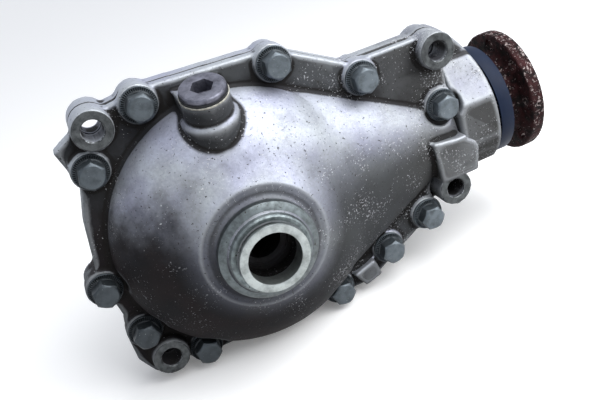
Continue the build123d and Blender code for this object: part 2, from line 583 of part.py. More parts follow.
def taper_bearing(frame, bore_r, outer_r, width, cup_width, name, rollers=16):
    """Cup, cone and rollers. The frame's origin is on the cone's back face, its Z towards the cup's back."""
    section = outer_r - bore_r
    cup_angle = 13.0
    cup_middle = width - cup_width / 2
    reach = (outer_r - 0.3 * section) / tan(radians(cup_angle))
    apex = cup_middle + reach
    cone_angle = degrees(atan((bore_r + 0.2 * section) / reach))
    rib, small_rib = 0.13 * width, 0.08 * width

    def cup_race(z):
        return (apex - z) * tan(radians(cup_angle))

    def cone_race(z):
        return (apex - z) * tan(radians(cone_angle))

    cup_profile = [(outer_r, width), (outer_r, width - cup_width),
                   (cup_race(width - cup_width), width - cup_width), (cup_race(width), width)]
    cone_profile = [
        (bore_r, 0), (cone_race(0) + 0.2 * section, 0), (cone_race(rib) + 0.2 * section, rib),
        (cone_race(rib), rib), (cone_race(width - small_rib), width - small_rib),
        (cone_race(width - small_rib) + 0.1 * section, width - small_rib),
        (cone_race(width) + 0.1 * section, width), (bore_r, width)]
    for ring_name, profile in (("cup", cup_profile), ("cone", cone_profile)):
        with BuildPart() as ring:
            with BuildSketch(Plane(origin=frame.origin, x_dir=frame.x_dir, z_dir=-frame.y_dir)):
                with BuildLine():
                    Polyline(*profile, close=True)
                make_face()
            revolve(axis=Axis(frame.origin, frame.z_dir))
        finish(ring, f"{name}_{ring_name}")

    # Rollers: frustums of cones that share the races' apex
    lean = (cup_angle + cone_angle) / 2
    flare = tan(radians((cup_angle - cone_angle) / 2))
    near = (apex - rib) / cos(radians(lean)) - 0.9
    far = (apex - width + small_rib) / cos(radians(lean)) + 0.9
    with BuildPart() as roller:
        with BuildSketch(Plane.XZ):
            with BuildLine():
                Polyline((0, -near), (near * flare - RUNNING_CLEARANCE, -near),
                         (far * flare - RUNNING_CLEARANCE, -far), (0, -far), close=True)
            make_face()
        revolve(axis=Axis.Z)
    tilted = Location((0, 0, apex)) * Location((0, 0, 0), (0, -lean, 0))
    with BuildPart() as roller_set:
        with Locations(frame.location):
            with PolarLocations(0, rollers):
                add(roller.part.moved(tilted))
    finish(roller_set, f"{name}_rollers")


LEFT_BEARING = Plane(origin=(0, LEFT_SHOULDER, 0), x_dir=(1, 0, 0), z_dir=(0, -1, 0))
RIGHT_BEARING = Plane(origin=(0, RIGHT_SHOULDER, 0), x_dir=(1, 0, 0), z_dir=(0, 1, 0))
INNER_FRAME = Plane(origin=(INNER_BEARING_X, PINION_Y, 0), x_dir=(0, 0, 1), z_dir=(1, 0, 0))
OUTER_FRAME = Plane(origin=(OUTER_STOP, PINION_Y, 0), x_dir=(0, 0, 1), z_dir=(-1, 0, 0))
CARRIER_BEARING = (CARRIER_BORE_R, CARRIER_OUTER_R, CARRIER_WIDTH, CARRIER_CUP_WIDTH)
taper_bearing(LEFT_BEARING, *CARRIER_BEARING, "carrier_bearing_left")
taper_bearing(RIGHT_BEARING, *CARRIER_BEARING, "carrier_bearing_right")
taper_bearing(INNER_FRAME, *INNER_BEARING, "pinion_bearing_inner")
taper_bearing(OUTER_FRAME, *OUTER_BEARING, "pinion_bearing_outer")


# Pinion line: shims, crush sleeve, seal, companion flange, deflector and nut

LEFT_SHIM_Y = CASE_LEFT_END - SHIM
RIGHT_SHIM_Y = CASE_RIGHT_END + SHIM
for side, start, step in (("left", CASE_LEFT_END, 1), ("right", CASE_RIGHT_END, -1)):
    with BuildPart() as shim:
        with BuildSketch(facing(start)):
            Circle(CARRIER_OUTER_R)
            Circle(CARRIER_OUTER_R - SHIM_WIDTH, mode=Mode.SUBTRACT)
        extrude(amount=step * SHIM)
    finish(shim, f"carrier_shim_{side}")


def along_pinion(x):
    """Plane square to the pinion axis, looking towards the companion flange."""
    return Plane(origin=(x, PINION_Y, 0), x_dir=(0, 0, 1), z_dir=(1, 0, 0))


def turned(profile, name):
    """Piece turned about the pinion axis from a profile drawn as (x, radius)."""
    with BuildPart() as piece:
        with BuildSketch(PINION_PROFILE):
            with BuildLine():
                Polyline(*profile, close=True)
            make_face()
        revolve(axis=PINION_AXIS)
    finish(piece, name)


turned([(HEAD_BACK, inner_bore_r), (HEAD_BACK, inner_bore_r + SHIM_WIDTH),
        (INNER_BEARING_X, inner_bore_r + SHIM_WIDTH), (INNER_BEARING_X, inner_bore_r)], "pinion_shim")

# Crush sleeve: a thin tube with a bulge that yields when the nut is pulled up
sleeve_start = INNER_BEARING_X + inner_width
sleeve_middle = (sleeve_start + OUTER_BEARING_X) / 2
sleeve_end_r = SLEEVE_R - SLEEVE_NECK
sleeve_outer = [(sleeve_start, sleeve_end_r), (sleeve_middle - SLEEVE_BULGE, sleeve_end_r),
                (sleeve_middle, SLEEVE_R), (sleeve_middle + SLEEVE_BULGE, sleeve_end_r),
                (OUTER_BEARING_X, sleeve_end_r)]
sleeve_inner = [(x, outer_bore_r) for x in (OUTER_BEARING_X, sleeve_start)]
turned(sleeve_outer + sleeve_inner, "crush_sleeve")

# Shaft seals: a cased ring with a lip that runs on the shaft
pinion_seal_end = PINION_SEAL_X + PINION_SEAL_LENGTH
turned([(PINION_SEAL_X, FLANGE_HUB_R + SEAL_LIP), (PINION_SEAL_X, PINION_SEAL_R),
        (pinion_seal_end, PINION_SEAL_R), (pinion_seal_end, FLANGE_HUB_R + SEAL_LIP),
        (pinion_seal_end - SEAL_LIP, FLANGE_HUB_R + SEAL_LIP),
        (pinion_seal_end - SEAL_LIP_SLOPE, FLANGE_HUB_R + RUNNING_CLEARANCE),
        (PINION_SEAL_X + SEAL_LIP, FLANGE_HUB_R + RUNNING_CLEARANCE)], "pinion_seal")

seal_profile = [
    (OUTPUT_R, COVER_FACE), (SEAL_RIM_R, COVER_FACE), (SEAL_RIM_R, COVER_FACE + SEAL_RIM),
    (SEAL_R, COVER_FACE + SEAL_RIM), (SEAL_R, COVER_FACE + SEAL_LENGTH),
    (OUTPUT_R + SEAL_LIP, COVER_FACE + SEAL_LENGTH), (OUTPUT_R, COVER_FACE + SEAL_LENGTH - SEAL_LIP)]
with BuildPart() as output_seal_left:
    with BuildSketch(Plane.XY):
        with BuildLine():
            Polyline(*seal_profile, close=True)
        make_face()
    revolve(axis=Axis.Y)
finish(output_seal_left, "output_seal_left")
with BuildPart() as output_seal_right:
    with BuildSketch(Plane.XY):
        with BuildLine():
            Polyline(*[to_engine_side(point) for point in seal_profile], close=True)
        make_face()
    revolve(axis=Axis.Y)
finish(output_seal_right, "output_seal_right")

flange_back = FLANGE_FACE - FLANGE_THICK
with BuildPart() as pinion_flange:
    with BuildSketch(PINION_PROFILE):
        with BuildLine():
            Polyline(
                (OUTER_STOP, PINION_SPLINE_R), (OUTER_STOP, FLANGE_HUB_R), (FLANGE_NECK_X, FLANGE_HUB_R),
                (FLANGE_NECK_X, FLANGE_NECK_R), (flange_back - FLANGE_FILLET, FLANGE_NECK_R),
                (flange_back, FLANGE_NECK_R + FLANGE_FILLET), (flange_back, FLANGE_R - FLANGE_BREAK),
                (flange_back + FLANGE_BREAK, FLANGE_R), (FLANGE_FACE - FLANGE_BREAK, FLANGE_R),
                (FLANGE_FACE, FLANGE_R - FLANGE_BREAK), (FLANGE_FACE, FLANGE_RECESS_R),
                (NUT_SEAT, FLANGE_RECESS_R), (NUT_SEAT, PINION_SPLINE_R), close=True)
        make_face()
    revolve(axis=PINION_AXIS)
    with BuildSketch(along_pinion(FLANGE_FACE)):
        with PolarLocations(FLANGE_HOLE_CIRCLE_R, FLANGE_HOLES):
            Circle(FLANGE_HOLE_R)
    extrude(amount=-FLANGE_THICK, mode=Mode.SUBTRACT)
finish(pinion_flange, "pinion_flange")

turned([(DEFLECTOR_START, DEFLECTOR_R), (DEFLECTOR_END, DEFLECTOR_R), (DEFLECTOR_END, FLANGE_NECK_R),
        (DEFLECTOR_END - DEFLECTOR_WALL, FLANGE_NECK_R),
        (DEFLECTOR_END - DEFLECTOR_WALL, DEFLECTOR_R - DEFLECTOR_WALL),
        (DEFLECTOR_START, DEFLECTOR_R - DEFLECTOR_WALL)], "dust_deflector")

with BuildPart() as pinion_nut:
    with BuildSketch(along_pinion(NUT_SEAT)):
        RegularPolygon(NUT_FLATS / 2, 6, major_radius=False)
        Circle(PINION_THREAD_R, mode=Mode.SUBTRACT)
    extrude(amount=NUT_THICK)
finish(pinion_nut, "pinion_nut")


# Castings

ALL_MOUNTS = [MOUNT_UPPER_LEFT, MOUNT_UPPER_RIGHT, MOUNT_LOWER_LEFT, MOUNT_LOWER_RIGHT]
COVER_MOUNTS = [MOUNT_UPPER_LEFT, MOUNT_UPPER_RIGHT, MOUNT_LOWER_LEFT]
PASSAGE_R = SEAL_R - 2


def flange_outline(boss_r, ear):
    """Joint flange: straight runs between the bolt bosses, with every inner corner rounded."""
    with BuildSketch() as outline:
        with BuildLine():
            Polyline(*FLANGE_OUTLINE, close=True)
        make_face()
        if ear:
            with BuildLine():
                Polyline(*EAR, close=True)
            make_face()
        with Locations(*BOLT_PLACES):
            Circle(boss_r)
        with Locations(*COVER_MOUNTS):
            Circle(MOUNT_BOSS_R - BOSS_STEP)
        offset(amount=OUTLINE_CORNER)
        offset(amount=-OUTLINE_CORNER)
    return outline.sketch


def inset(points, wall):
    """The points of a profile moved inwards, square to the line through their neighbours."""
    moved = []
    for number, (radius, y) in enumerate(points):
        before = points[max(number - 1, 0)]
        after = points[min(number + 1, len(points) - 1)]
        length = hypot(after[0] - before[0], after[1] - before[1])
        moved.append((radius - wall * (after[1] - before[1]) / length,
                      y + wall * (after[0] - before[0]) / length))
    return moved


COLLAR = [(0, COLLAR_END), (COLLAR_R - 1, COLLAR_END), (COLLAR_R, COLLAR_END + 1),
          (COLLAR_R + 1, ANNULUS_Y - 2), (ANNULUS_R, ANNULUS_Y), (ANNULUS_R, SHOULDER_Y - 1.5),
          (ANNULUS_R + 1.5, SHOULDER_Y), DOME[0]]
SEAL_STOP = COVER_FACE + SEAL_LENGTH
BOLT_HOLE_R = BOLT_R + BOLT_CLEARANCE
HOLE_REACH = 30.0
# Height of the opening at the cover's end that the nose stands in
NOSE_ROOM = 2 * (MOUNT_UPPER_RIGHT[1] - MOUNT_BOSS_R) - MOUNT_RELIEF
PLUG_FACE = Plane(origin=PLUG_SEAT, x_dir=(1, 0, 0),
                  z_dir=(0, -sin(radians(PLUG_TILT)), cos(radians(PLUG_TILT))))


def bulge(shrink, end):
    """Tapering bulge over the pinion, cut off at the parting plane."""
    (x0, w0, h0), (x1, w1, h1) = BULGE_WIDE, BULGE_NARROW
    share = (end - x0) / (x1 - x0)
    stations = [(x0, w0, h0), (end, w0 + (w1 - w0) * share, h0 + (h1 - h0) * share)]
    with BuildPart() as form:
        for x, width, height in stations:
            with BuildSketch(Plane(origin=(x, JOINT_Y, 0), x_dir=(0, 0, 1), z_dir=(1, 0, 0))):
                Ellipse(width - shrink, height - shrink)
        loft()
        split(bisect_by=facing(JOINT_Y), keep=Keep.TOP)
    return form.part


with BuildPart() as side_cover:
    with BuildSketch(facing(JOINT_Y)):
        add(flange_outline(BOLT_BOSS_R - BOSS_STEP, True))
        with Locations((COVER_END, 0)):
            Rectangle(HOLE_REACH, NOSE_ROOM, align=(Align.MIN, Align.CENTER), mode=Mode.SUBTRACT)
    extrude(amount=PLATE_THICK)
    # Dome and output collar
    with BuildSketch(Plane.XY):
        with BuildLine():
            Polyline(*COLLAR)
            Spline(*DOME)
            Polyline(DOME[-1], (DOME[-1][0], JOINT_Y), (0, JOINT_Y), COLLAR[0])
        make_face()
    revolve(axis=Axis.Y)
    add(bulge(0, COVER_END))
    # Filler plug boss, and the block that joins it to the flange
    with BuildSketch(Plane(origin=PLUG_SEAT, x_dir=(1, 0, 0), z_dir=-PLUG_FACE.y_dir)):
        with BuildLine():
            Polyline((0, 0), *PLUG_BOSS, (0, PLUG_BOSS[-1][1]), close=True)
        make_face()
    revolve(axis=Axis(PLUG_SEAT, PLUG_FACE.z_dir))
    bridge_width, bridge_height, bridge_top = PLUG_BRIDGE
    with BuildSketch(facing(JOINT_Y)):
        with Locations((PLUG_SEAT[0], bridge_top)):
            Rectangle(bridge_width, bridge_height, align=(Align.CENTER, Align.MAX))
    extrude(amount=JOINT_Y - PLUG_BRIDGE_FRONT)
    # Raised pad between two bolts, under the dome
    with BuildSketch(facing(JOINT_Y)):
        with BuildLine():
            Polyline(*PAD, close=True)
        make_face()
    extrude(amount=JOINT_Y - PAD_FRONT)
    # Room for the mounting boss that the casing carries
    with BuildSketch(facing(JOINT_Y)):
        with Locations(MOUNT_LOWER_RIGHT):
            Circle(MOUNT_BOSS_R + MOUNT_RELIEF)
    extrude(amount=2 * HOLE_REACH, mode=Mode.SUBTRACT)
    # Scallops that let the bolt heads down to their seats
    with BuildSketch(facing(SEAT_Y)):
        with Locations(*BOLT_PLACES):
            Circle(POCKET_R)
    extrude(amount=2 * HOLE_REACH, mode=Mode.SUBTRACT)
    with BuildSketch(facing(JOINT_Y - PLATE_THICK)):
        with Locations(*COVER_MOUNTS):
            Circle(MOUNT_BOSS_R + MOUNT_RELIEF)
    extrude(amount=2 * HOLE_REACH, mode=Mode.SUBTRACT)
    with BuildSketch(facing(JOINT_Y)):
        with Locations(*BOLT_PLACES):
            Circle(BOLT_BOSS_R)
        with Locations((COVER_END, 0)):
            Rectangle(HOLE_REACH, NOSE_ROOM, align=(Align.MIN, Align.CENTER), mode=Mode.SUBTRACT)
    extrude(amount=JOINT_Y - SEAT_Y)
    with BuildSketch(facing(JOINT_Y)):
        with Locations(*COVER_MOUNTS):
            Circle(MOUNT_BOSS_R)
    extrude(amount=JOINT_Y - BOSS_Y)
    # Tab over the foot of the nose, and the block that carries it
    with BuildSketch(facing(TAB_FRONT + TAB_THICK)):
        with BuildLine():
            Polyline(*TAB, close=True)
        make_face()
    extrude(amount=TAB_THICK)
    with BuildSketch(facing(JOINT_Y)):
        with BuildLine():
            Polyline(TAB[0], TAB[1], (COVER_END, TAB[1][1]), (COVER_END, TAB[-1][1]), TAB[-1], close=True)
        make_face()
        with Locations(MOUNT_LOWER_RIGHT):
            Circle(MOUNT_BOSS_R + MOUNT_RELIEF, mode=Mode.SUBTRACT)
    extrude(amount=JOINT_Y - TAB_FRONT)
    # Inside: seal bore, bearing bore, dome and the room over the pinion
    with BuildSketch(Plane.XY):
        with BuildLine():
            inner = [(CARRIER_OUTER_R + WALL, DOME[0][1] + 12)]
            inner += inset(DOME, WALL)[1:-1] + [(CAVITY_R, DOME[-1][1])]
            Polyline((0, COVER_FACE), (SEAL_R, COVER_FACE), (SEAL_R, SEAL_STOP), (PASSAGE_R, SEAL_STOP),
                     (PASSAGE_R, LEFT_SHIM_Y), (CARRIER_OUTER_R, LEFT_SHIM_Y),
                     (CARRIER_OUTER_R, LEFT_SHOULDER - 1), (CARRIER_OUTER_R + WALL, LEFT_SHOULDER - 1),
                     inner[0])
            Spline(*inner)
            Polyline(inner[-1], (CAVITY_R, JOINT_Y), (0, JOINT_Y), (0, COVER_FACE))
        make_face()
    revolve(axis=Axis.Y, mode=Mode.SUBTRACT)
    add(bulge(WALL + 1, BULGE_INSIDE_END), mode=Mode.SUBTRACT)
    with BuildSketch(PINION_PROFILE):
        with BuildLine():
            Polyline((BORE_START, 0), (BORE_START, CARRIER_TUBE_R + TUBE_GAP),
                     (TUBE_NECK[0] + TUBE_GAP, CARRIER_TUBE_R + TUBE_GAP),
                     (TUBE_NECK[1] + TUBE_GAP, NOSE_TUBE_R + TUBE_GAP),
                     (COVER_END, NOSE_TUBE_R + TUBE_GAP), (COVER_END, 0), close=True)
        make_face()
    revolve(axis=PINION_AXIS, mode=Mode.SUBTRACT)
    # Holes
    with BuildSketch(facing(JOINT_Y)):
        with Locations(*BOLT_PLACES):
            Circle(BOLT_HOLE_R)
        with Locations(*COVER_MOUNTS):
            Circle(MOUNT_HOLE_R)
    extrude(amount=HOLE_REACH, mode=Mode.SUBTRACT)
    with BuildSketch(facing(JOINT_Y)):
        with Locations(*DOWEL_PLACES):
            Circle(DOWEL_R)
    extrude(amount=DOWEL_LENGTH / 2, mode=Mode.SUBTRACT)
    with BuildSketch(PLUG_FACE):
        Circle(PLUG_R)
    extrude(amount=-PLUG_HOLE, mode=Mode.SUBTRACT)
    for x, z, width in PRY_SLOTS:
        with BuildSketch(facing(JOINT_Y)):
            with Locations((x, z)):
                Rectangle(width, PRY_HEIGHT)
        extrude(amount=PRY_DEPTH, mode=Mode.SUBTRACT)
finish(side_cover, "side_cover")

with BuildPart() as cover_bolts:
    for radius, start, length in ((BOLT_R, SEAT_Y, -BOLT_GRIP), (BOLT_FLANGE_R, SEAT_Y, BOLT_RIM)):
        with BuildSketch(facing(start)):
            with Locations(*BOLT_PLACES):
                Circle(radius)
        extrude(amount=length)
    with BuildSketch(facing(SEAT_Y - BOLT_RIM)):
        with Locations(*BOLT_PLACES):
            Circle(BOLT_FLANGE_R)
    extrude(amount=BOLT_FLANGE_THICK - BOLT_RIM, taper=BOLT_SKIRT_TAPER)
    with BuildSketch(facing(SEAT_Y - BOLT_RIM)):
        with Locations(*BOLT_PLACES):
            RegularPolygon(BOLT_FLATS / 2, 6, major_radius=False)
    extrude(amount=BOLT_HEAD - BOLT_RIM)
finish(cover_bolts, "cover_bolts")

with BuildPart() as cover_dowels:
    with BuildSketch(facing(JOINT_Y - DOWEL_LENGTH / 2)):
        with Locations(*DOWEL_PLACES):
            Circle(DOWEL_R)
    extrude(amount=-DOWEL_LENGTH)
finish(cover_dowels, "cover_dowels")

with BuildPart() as filler_plug:
    with BuildSketch(PLUG_FACE.offset(PLUG_WASHER)):
        Circle(PLUG_COLLAR_R)
    extrude(amount=PLUG_COLLAR)
    with BuildSketch(PLUG_FACE.offset(PLUG_WASHER)):
        Circle(PLUG_R)
    extrude(amount=-PLUG_LENGTH - PLUG_WASHER)
    chamfer(filler_plug.faces().sort_by(Axis.Z)[-1].edges(), PLUG_CHAMFER)
    with BuildSketch(PLUG_FACE.offset(PLUG_WASHER + PLUG_COLLAR)):
        RegularPolygon(PLUG_SOCKET / 2, 6, major_radius=False)
    extrude(amount=-PLUG_SOCKET_DEPTH, mode=Mode.SUBTRACT)
finish(filler_plug, "filler_plug")

with BuildPart() as filler_plug_washer:
    with BuildSketch(PLUG_FACE):
        Circle(PLUG_WASHER_R)
        Circle(PLUG_R, mode=Mode.SUBTRACT)
    extrude(amount=PLUG_WASHER)
finish(filler_plug_washer, "filler_plug_washer")

with BuildPart() as casing:
    with BuildSketch(facing(JOINT_Y)):
        add(flange_outline(CASING_BOSS_R, False))
        with Locations(MOUNT_LOWER_RIGHT):
            Circle(MOUNT_BOSS_R - BOSS_STEP)
    extrude(amount=-CASING_FLANGE)
    with BuildSketch(Plane.XY):
        with BuildLine():
            Polyline((0, JOINT_Y), (DOME[-1][0], JOINT_Y), *BOWL,
                     *[to_engine_side(point) for point in reversed(COLLAR)], close=True)
        make_face()
    revolve(axis=Axis.Y)
    # Nose: round behind the parting plane, flat-sided in front of the cover's end
    with BuildSketch(PINION_PROFILE):
        with BuildLine():
            Polyline((NOSE_REAR[0][0], 0), *NOSE_REAR, (NOSE_END, 0), close=True)
        make_face()
    revolve(axis=PINION_AXIS)
    with BuildSketch(along_pinion(NOSE_START)):
        with BuildLine():
            Polyline(*NOSE_SECTION, close=True)
        make_face()
    extrude(amount=NOSE_END - NOSE_START)
    with BuildSketch(PINION_PROFILE):
        with BuildLine():
            ThreePointArc(NOSE_SHOULDER[0], NOSE_SHOULDER[1], (NOSE_END, NOSE_END_R))
            Polyline((NOSE_END, NOSE_END_R), (NOSE_END, 2 * NOSE_SHOULDER[0][1]),
                     (NOSE_SHOULDER[0][0], 2 * NOSE_SHOULDER[0][1]), NOSE_SHOULDER[0])
        make_face()
    revolve(axis=PINION_AXIS, mode=Mode.SUBTRACT)
    with BuildSketch(facing(JOINT_Y)):
        with Locations((NOSE_START, 0)):
            Rectangle(4 * CAVITY_R, 4 * CAVITY_R, align=(Align.MAX, Align.CENTER))
    extrude(amount=4 * HOLE_REACH, mode=Mode.SUBTRACT)
    with BuildSketch(facing(SEAT_Y + 1)):
        with Locations(*BOLT_PLACES):
            Circle(BOLT_FLANGE_R + HEAD_ROOM)
    extrude(amount=2 * HOLE_REACH, mode=Mode.SUBTRACT)
    # Bearing tube that reaches into the cover's bulge
    with BuildSketch(PINION_PROFILE):
        with BuildLine():
            Polyline((CAVITY_R - 2, 0), (CAVITY_R - 2, CARRIER_TUBE_R), (TUBE_NECK[0], CARRIER_TUBE_R),
                     (TUBE_NECK[1], NOSE_TUBE_R), (NOSE_START, NOSE_TUBE_R), (NOSE_START, 0), close=True)
        make_face()
    revolve(axis=PINION_AXIS)
    # Mounting bosses
    with BuildSketch(facing(JOINT_Y)):
        with Locations(*COVER_MOUNTS):
            Circle(MOUNT_BOSS_R)
    extrude(amount=JOINT_Y - MOUNT_FACE)
    with BuildSketch(facing(BOSS_Y)):
        with Locations(MOUNT_LOWER_RIGHT):
            Circle(MOUNT_BOSS_R)
    extrude(amount=BOSS_Y - MOUNT_FACE)
    # Ribs from the flange to the engine-side collar
    for angle in BOWL_RIBS:
        with BuildSketch(Plane(origin=(0, 0, 0), x_dir=(cos(radians(angle)), 0, sin(radians(angle))),
                               z_dir=(-sin(radians(angle)), 0, cos(radians(angle))))):
            with BuildLine():
                Polyline(*RIB, close=True)
            make_face()
        extrude(amount=RIB_THICK / 3, both=True)
    # Inside: gear cavity, room for the pinion head, bearing and seal bores
    with BuildSketch(Plane.XY):
        with BuildLine():
            Polyline((0, JOINT_Y - HOLE_REACH), (CAVITY_R, JOINT_Y - HOLE_REACH), *CAVITY,
                     (CARRIER_OUTER_R, CAVITY[-1][1]), (CARRIER_OUTER_R, RIGHT_SHIM_Y),
                     (PASSAGE_R, RIGHT_SHIM_Y), (PASSAGE_R, ENGINE_FACE - SEAL_LENGTH),
                     (SEAL_R, ENGINE_FACE - SEAL_LENGTH), (SEAL_R, ENGINE_FACE), (0, ENGINE_FACE), close=True)
        make_face()
    revolve(axis=Axis.Y, mode=Mode.SUBTRACT)
    with BuildSketch(PINION_PROFILE):
        with BuildLine():
            cup_back = INNER_BEARING_X + inner_width
            Polyline((CAVITY_R / 2, 0), (CAVITY_R / 2, HEAD_ROOM_R), (HEAD_BACK, HEAD_ROOM_R),
                     (HEAD_BACK, inner_outer_r), (cup_back, inner_outer_r), (cup_back, BETWEEN_R),
                     (OUTER_BEARING_X, BETWEEN_R), (OUTER_BEARING_X, outer_outer_r),
                     (PINION_SEAL_X - 1, outer_outer_r), (PINION_SEAL_X - 1, PINION_SEAL_R),
                     (NOSE_END, PINION_SEAL_R), (NOSE_END, 0), close=True)
        make_face()
    revolve(axis=PINION_AXIS, mode=Mode.SUBTRACT)
    # Holes
    with BuildSketch(facing(JOINT_Y)):
        with Locations(*BOLT_PLACES):
            Circle(BOLT_R)
    extrude(amount=-(BOLT_GRIP - JOINT_Y + SEAT_Y), mode=Mode.SUBTRACT)
    with BuildSketch(facing(BOSS_Y)):
        with Locations(*ALL_MOUNTS):
            Circle(MOUNT_HOLE_R)
    extrude(amount=BOSS_Y - MOUNT_FACE, mode=Mode.SUBTRACT)
    with BuildSketch(facing(JOINT_Y)):
        with Locations(*DOWEL_PLACES):
            Circle(DOWEL_R)
    extrude(amount=-DOWEL_LENGTH / 2, mode=Mode.SUBTRACT)
finish(casing, "casing")
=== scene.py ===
# %% [markdown]
# # A used front differential
#
# This scene dresses the solids of a front differential: a two-piece die-cast aluminium housing with a
# ring of flange bolts, an open output collar, a filler plug, and a companion flange on the pinion.
# The solids come first and are never moved. Blender adds what a drawing can't: how each metal was made
# and how years on the road have marked it.

# %% Load the solids
import json
import math
import bmesh
import bpy
from mathutils import Matrix, Vector, noise


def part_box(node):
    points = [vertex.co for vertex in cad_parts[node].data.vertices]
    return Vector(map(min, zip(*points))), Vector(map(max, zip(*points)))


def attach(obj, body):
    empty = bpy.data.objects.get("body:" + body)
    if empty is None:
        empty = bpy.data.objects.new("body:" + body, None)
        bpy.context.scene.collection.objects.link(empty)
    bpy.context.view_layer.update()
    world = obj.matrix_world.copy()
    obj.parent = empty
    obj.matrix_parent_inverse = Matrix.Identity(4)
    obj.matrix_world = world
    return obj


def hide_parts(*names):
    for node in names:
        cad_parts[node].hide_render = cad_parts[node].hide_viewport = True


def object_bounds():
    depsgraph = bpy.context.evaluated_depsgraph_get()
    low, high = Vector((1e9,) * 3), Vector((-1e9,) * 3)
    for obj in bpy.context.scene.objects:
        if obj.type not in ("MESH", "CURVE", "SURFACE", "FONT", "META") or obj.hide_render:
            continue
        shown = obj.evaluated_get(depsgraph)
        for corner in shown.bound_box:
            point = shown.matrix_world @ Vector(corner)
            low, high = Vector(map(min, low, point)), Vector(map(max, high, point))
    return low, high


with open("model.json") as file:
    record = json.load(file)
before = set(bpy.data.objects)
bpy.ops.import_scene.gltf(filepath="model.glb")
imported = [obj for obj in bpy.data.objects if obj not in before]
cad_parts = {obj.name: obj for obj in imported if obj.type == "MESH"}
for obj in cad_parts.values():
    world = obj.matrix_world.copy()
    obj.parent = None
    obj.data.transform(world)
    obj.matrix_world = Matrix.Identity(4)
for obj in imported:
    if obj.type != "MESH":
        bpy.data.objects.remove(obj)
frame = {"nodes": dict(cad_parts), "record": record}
cad_box = [list(corner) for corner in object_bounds()]
nodes = frame["nodes"]
mounts = {mount["name"]: mount for mount in frame["record"]["mounts"]}
MM = 0.001
print(len(nodes), "solids,", len(mounts), "mounts")

# %% [markdown]
# ## Camera
#
# The picture was taken from above and to the left, with the camera held at a slight tilt. The camera's
# place and its three directions were worked out from the circles and outlines that the picture shows.
# A camera looks along its own -Z, with +Y up, so its directions become the columns of its matrix.

# %% Camera
CAMERA_PLACE = Vector((-62.2, -531.0, 212.9)) * MM
CAMERA_RIGHT = Vector((0.90366, -0.3437, -0.25546))
CAMERA_DOWN = Vector((-0.37563, -0.34968, -0.85827))
CAMERA_FORWARD = Vector((0.20566, 0.87154, -0.4451))
FOCAL_PIXELS = 752.2
PICTURE_WIDTH = 600

camera_data = bpy.data.cameras.new("camera")
camera_data.sensor_width = 36.0
camera_data.lens = FOCAL_PIXELS * camera_data.sensor_width / PICTURE_WIDTH
camera = bpy.data.objects.new("camera", camera_data)
turn = Matrix((CAMERA_RIGHT, -CAMERA_DOWN, -CAMERA_FORWARD)).transposed()
camera.matrix_world = Matrix.Translation(CAMERA_PLACE) @ turn.to_4x4()
bpy.context.scene.collection.objects.link(camera)
bpy.context.scene.camera = camera
print("lens", round(camera_data.lens, 2), "mm")

# %% [markdown]
# ## Helpers for materials
#
# A colour picked on a screen is in sRGB, and Blender works with light, so one function turns a hex code
# into linear values. Another adds a node, sets its inputs and links it, which keeps the materials short
# enough to read as recipes. Patterns are sized by the distance from one spot to the next on the metal.

# %% Helpers for materials
def linear(code):
    """A linear RGBA colour from an sRGB hex code."""
    parts = [int(code[i:i + 2], 16) / 255 for i in (1, 3, 5)]
    return [c / 12.92 if c <= 0.04045 else ((c + 0.055) / 1.055) ** 2.4 for c in parts] + [1.0]


def add(tree, kind, inputs=None, **settings):
    """A node with its settings made and its inputs set or linked."""
    node = tree.nodes.new(kind)
    for name, value in settings.items():
        setattr(node, name, value)
    for key, value in (inputs or {}).items():
        if isinstance(value, bpy.types.NodeSocket):
            tree.links.new(value, node.inputs[key])
        else:
            node.inputs[key].default_value = value
    return node


def every(millimetres):
    """The scale that makes a pattern repeat about once in so many millimetres."""
    return 1 / (millimetres * MM)


def start_material(name, metallic, roughness):
    """A new material with its shader, ready for its patterns, and the place on the object."""
    made = bpy.data.materials.new(name)
    made.use_nodes = True
    tree = made.node_tree
    shader = tree.nodes["Principled BSDF"]
    shader.inputs["Metallic"].default_value = metallic
    shader.inputs["Roughness"].default_value = roughness
    place = add(tree, "ShaderNodeTexCoord").outputs["Object"]
    return made, tree, shader, place


print("white is", [round(c, 3) for c in linear("#ffffff")])

# %% [markdown]
# ## Floor, sky and lamps
#
# A pale floor and a white sky give the plain background of a catalogue picture. The camera and the
# mirrored rays see both of them white. To scattered light the floor is dark and the sky is bright only
# overhead, and broad soft lamps stand on the right, with a weak one on the left to fill the shadows. So
# every face that looks up is bright and the undersides are dark, as in the picture. The floor lies a
# little below the part, so that the two never share one surface.

# %% Floor, sky and lamps
# Half the floor's width and its distance below the part, in millimetres, and the strength of its glow
FLOOR_REACH = 20000
FLOOR_GAP = 0.5
PAPER_GLOW = 0.14

bpy.context.scene.view_settings.view_transform = "Standard"

bm = bmesh.new()
bmesh.ops.create_grid(bm, x_segments=1, y_segments=1, size=FLOOR_REACH * MM)
bmesh.ops.translate(bm, verts=bm.verts, vec=(0, 0, cad_box[0][2] - FLOOR_GAP * MM))
floor_mesh = bpy.data.meshes.new("floor")
bm.to_mesh(floor_mesh)
bm.free()
floor = bpy.data.objects.new("floor", floor_mesh)
bpy.context.scene.collection.objects.link(floor)


def seen_directly(tree):
    """1 for the camera's own rays and for those that metal mirrors, 0 for scattered light."""
    ray = add(tree, "ShaderNodeLightPath")
    seen = add(tree, "ShaderNodeMath", {0: ray.outputs["Is Camera Ray"],
                                        1: ray.outputs["Is Glossy Ray"]}, operation="MAXIMUM")
    return add(tree, "ShaderNodeMath", {0: seen.outputs[0], 1: ray.outputs["Is Transmission Ray"]},
               operation="MAXIMUM").outputs[0]


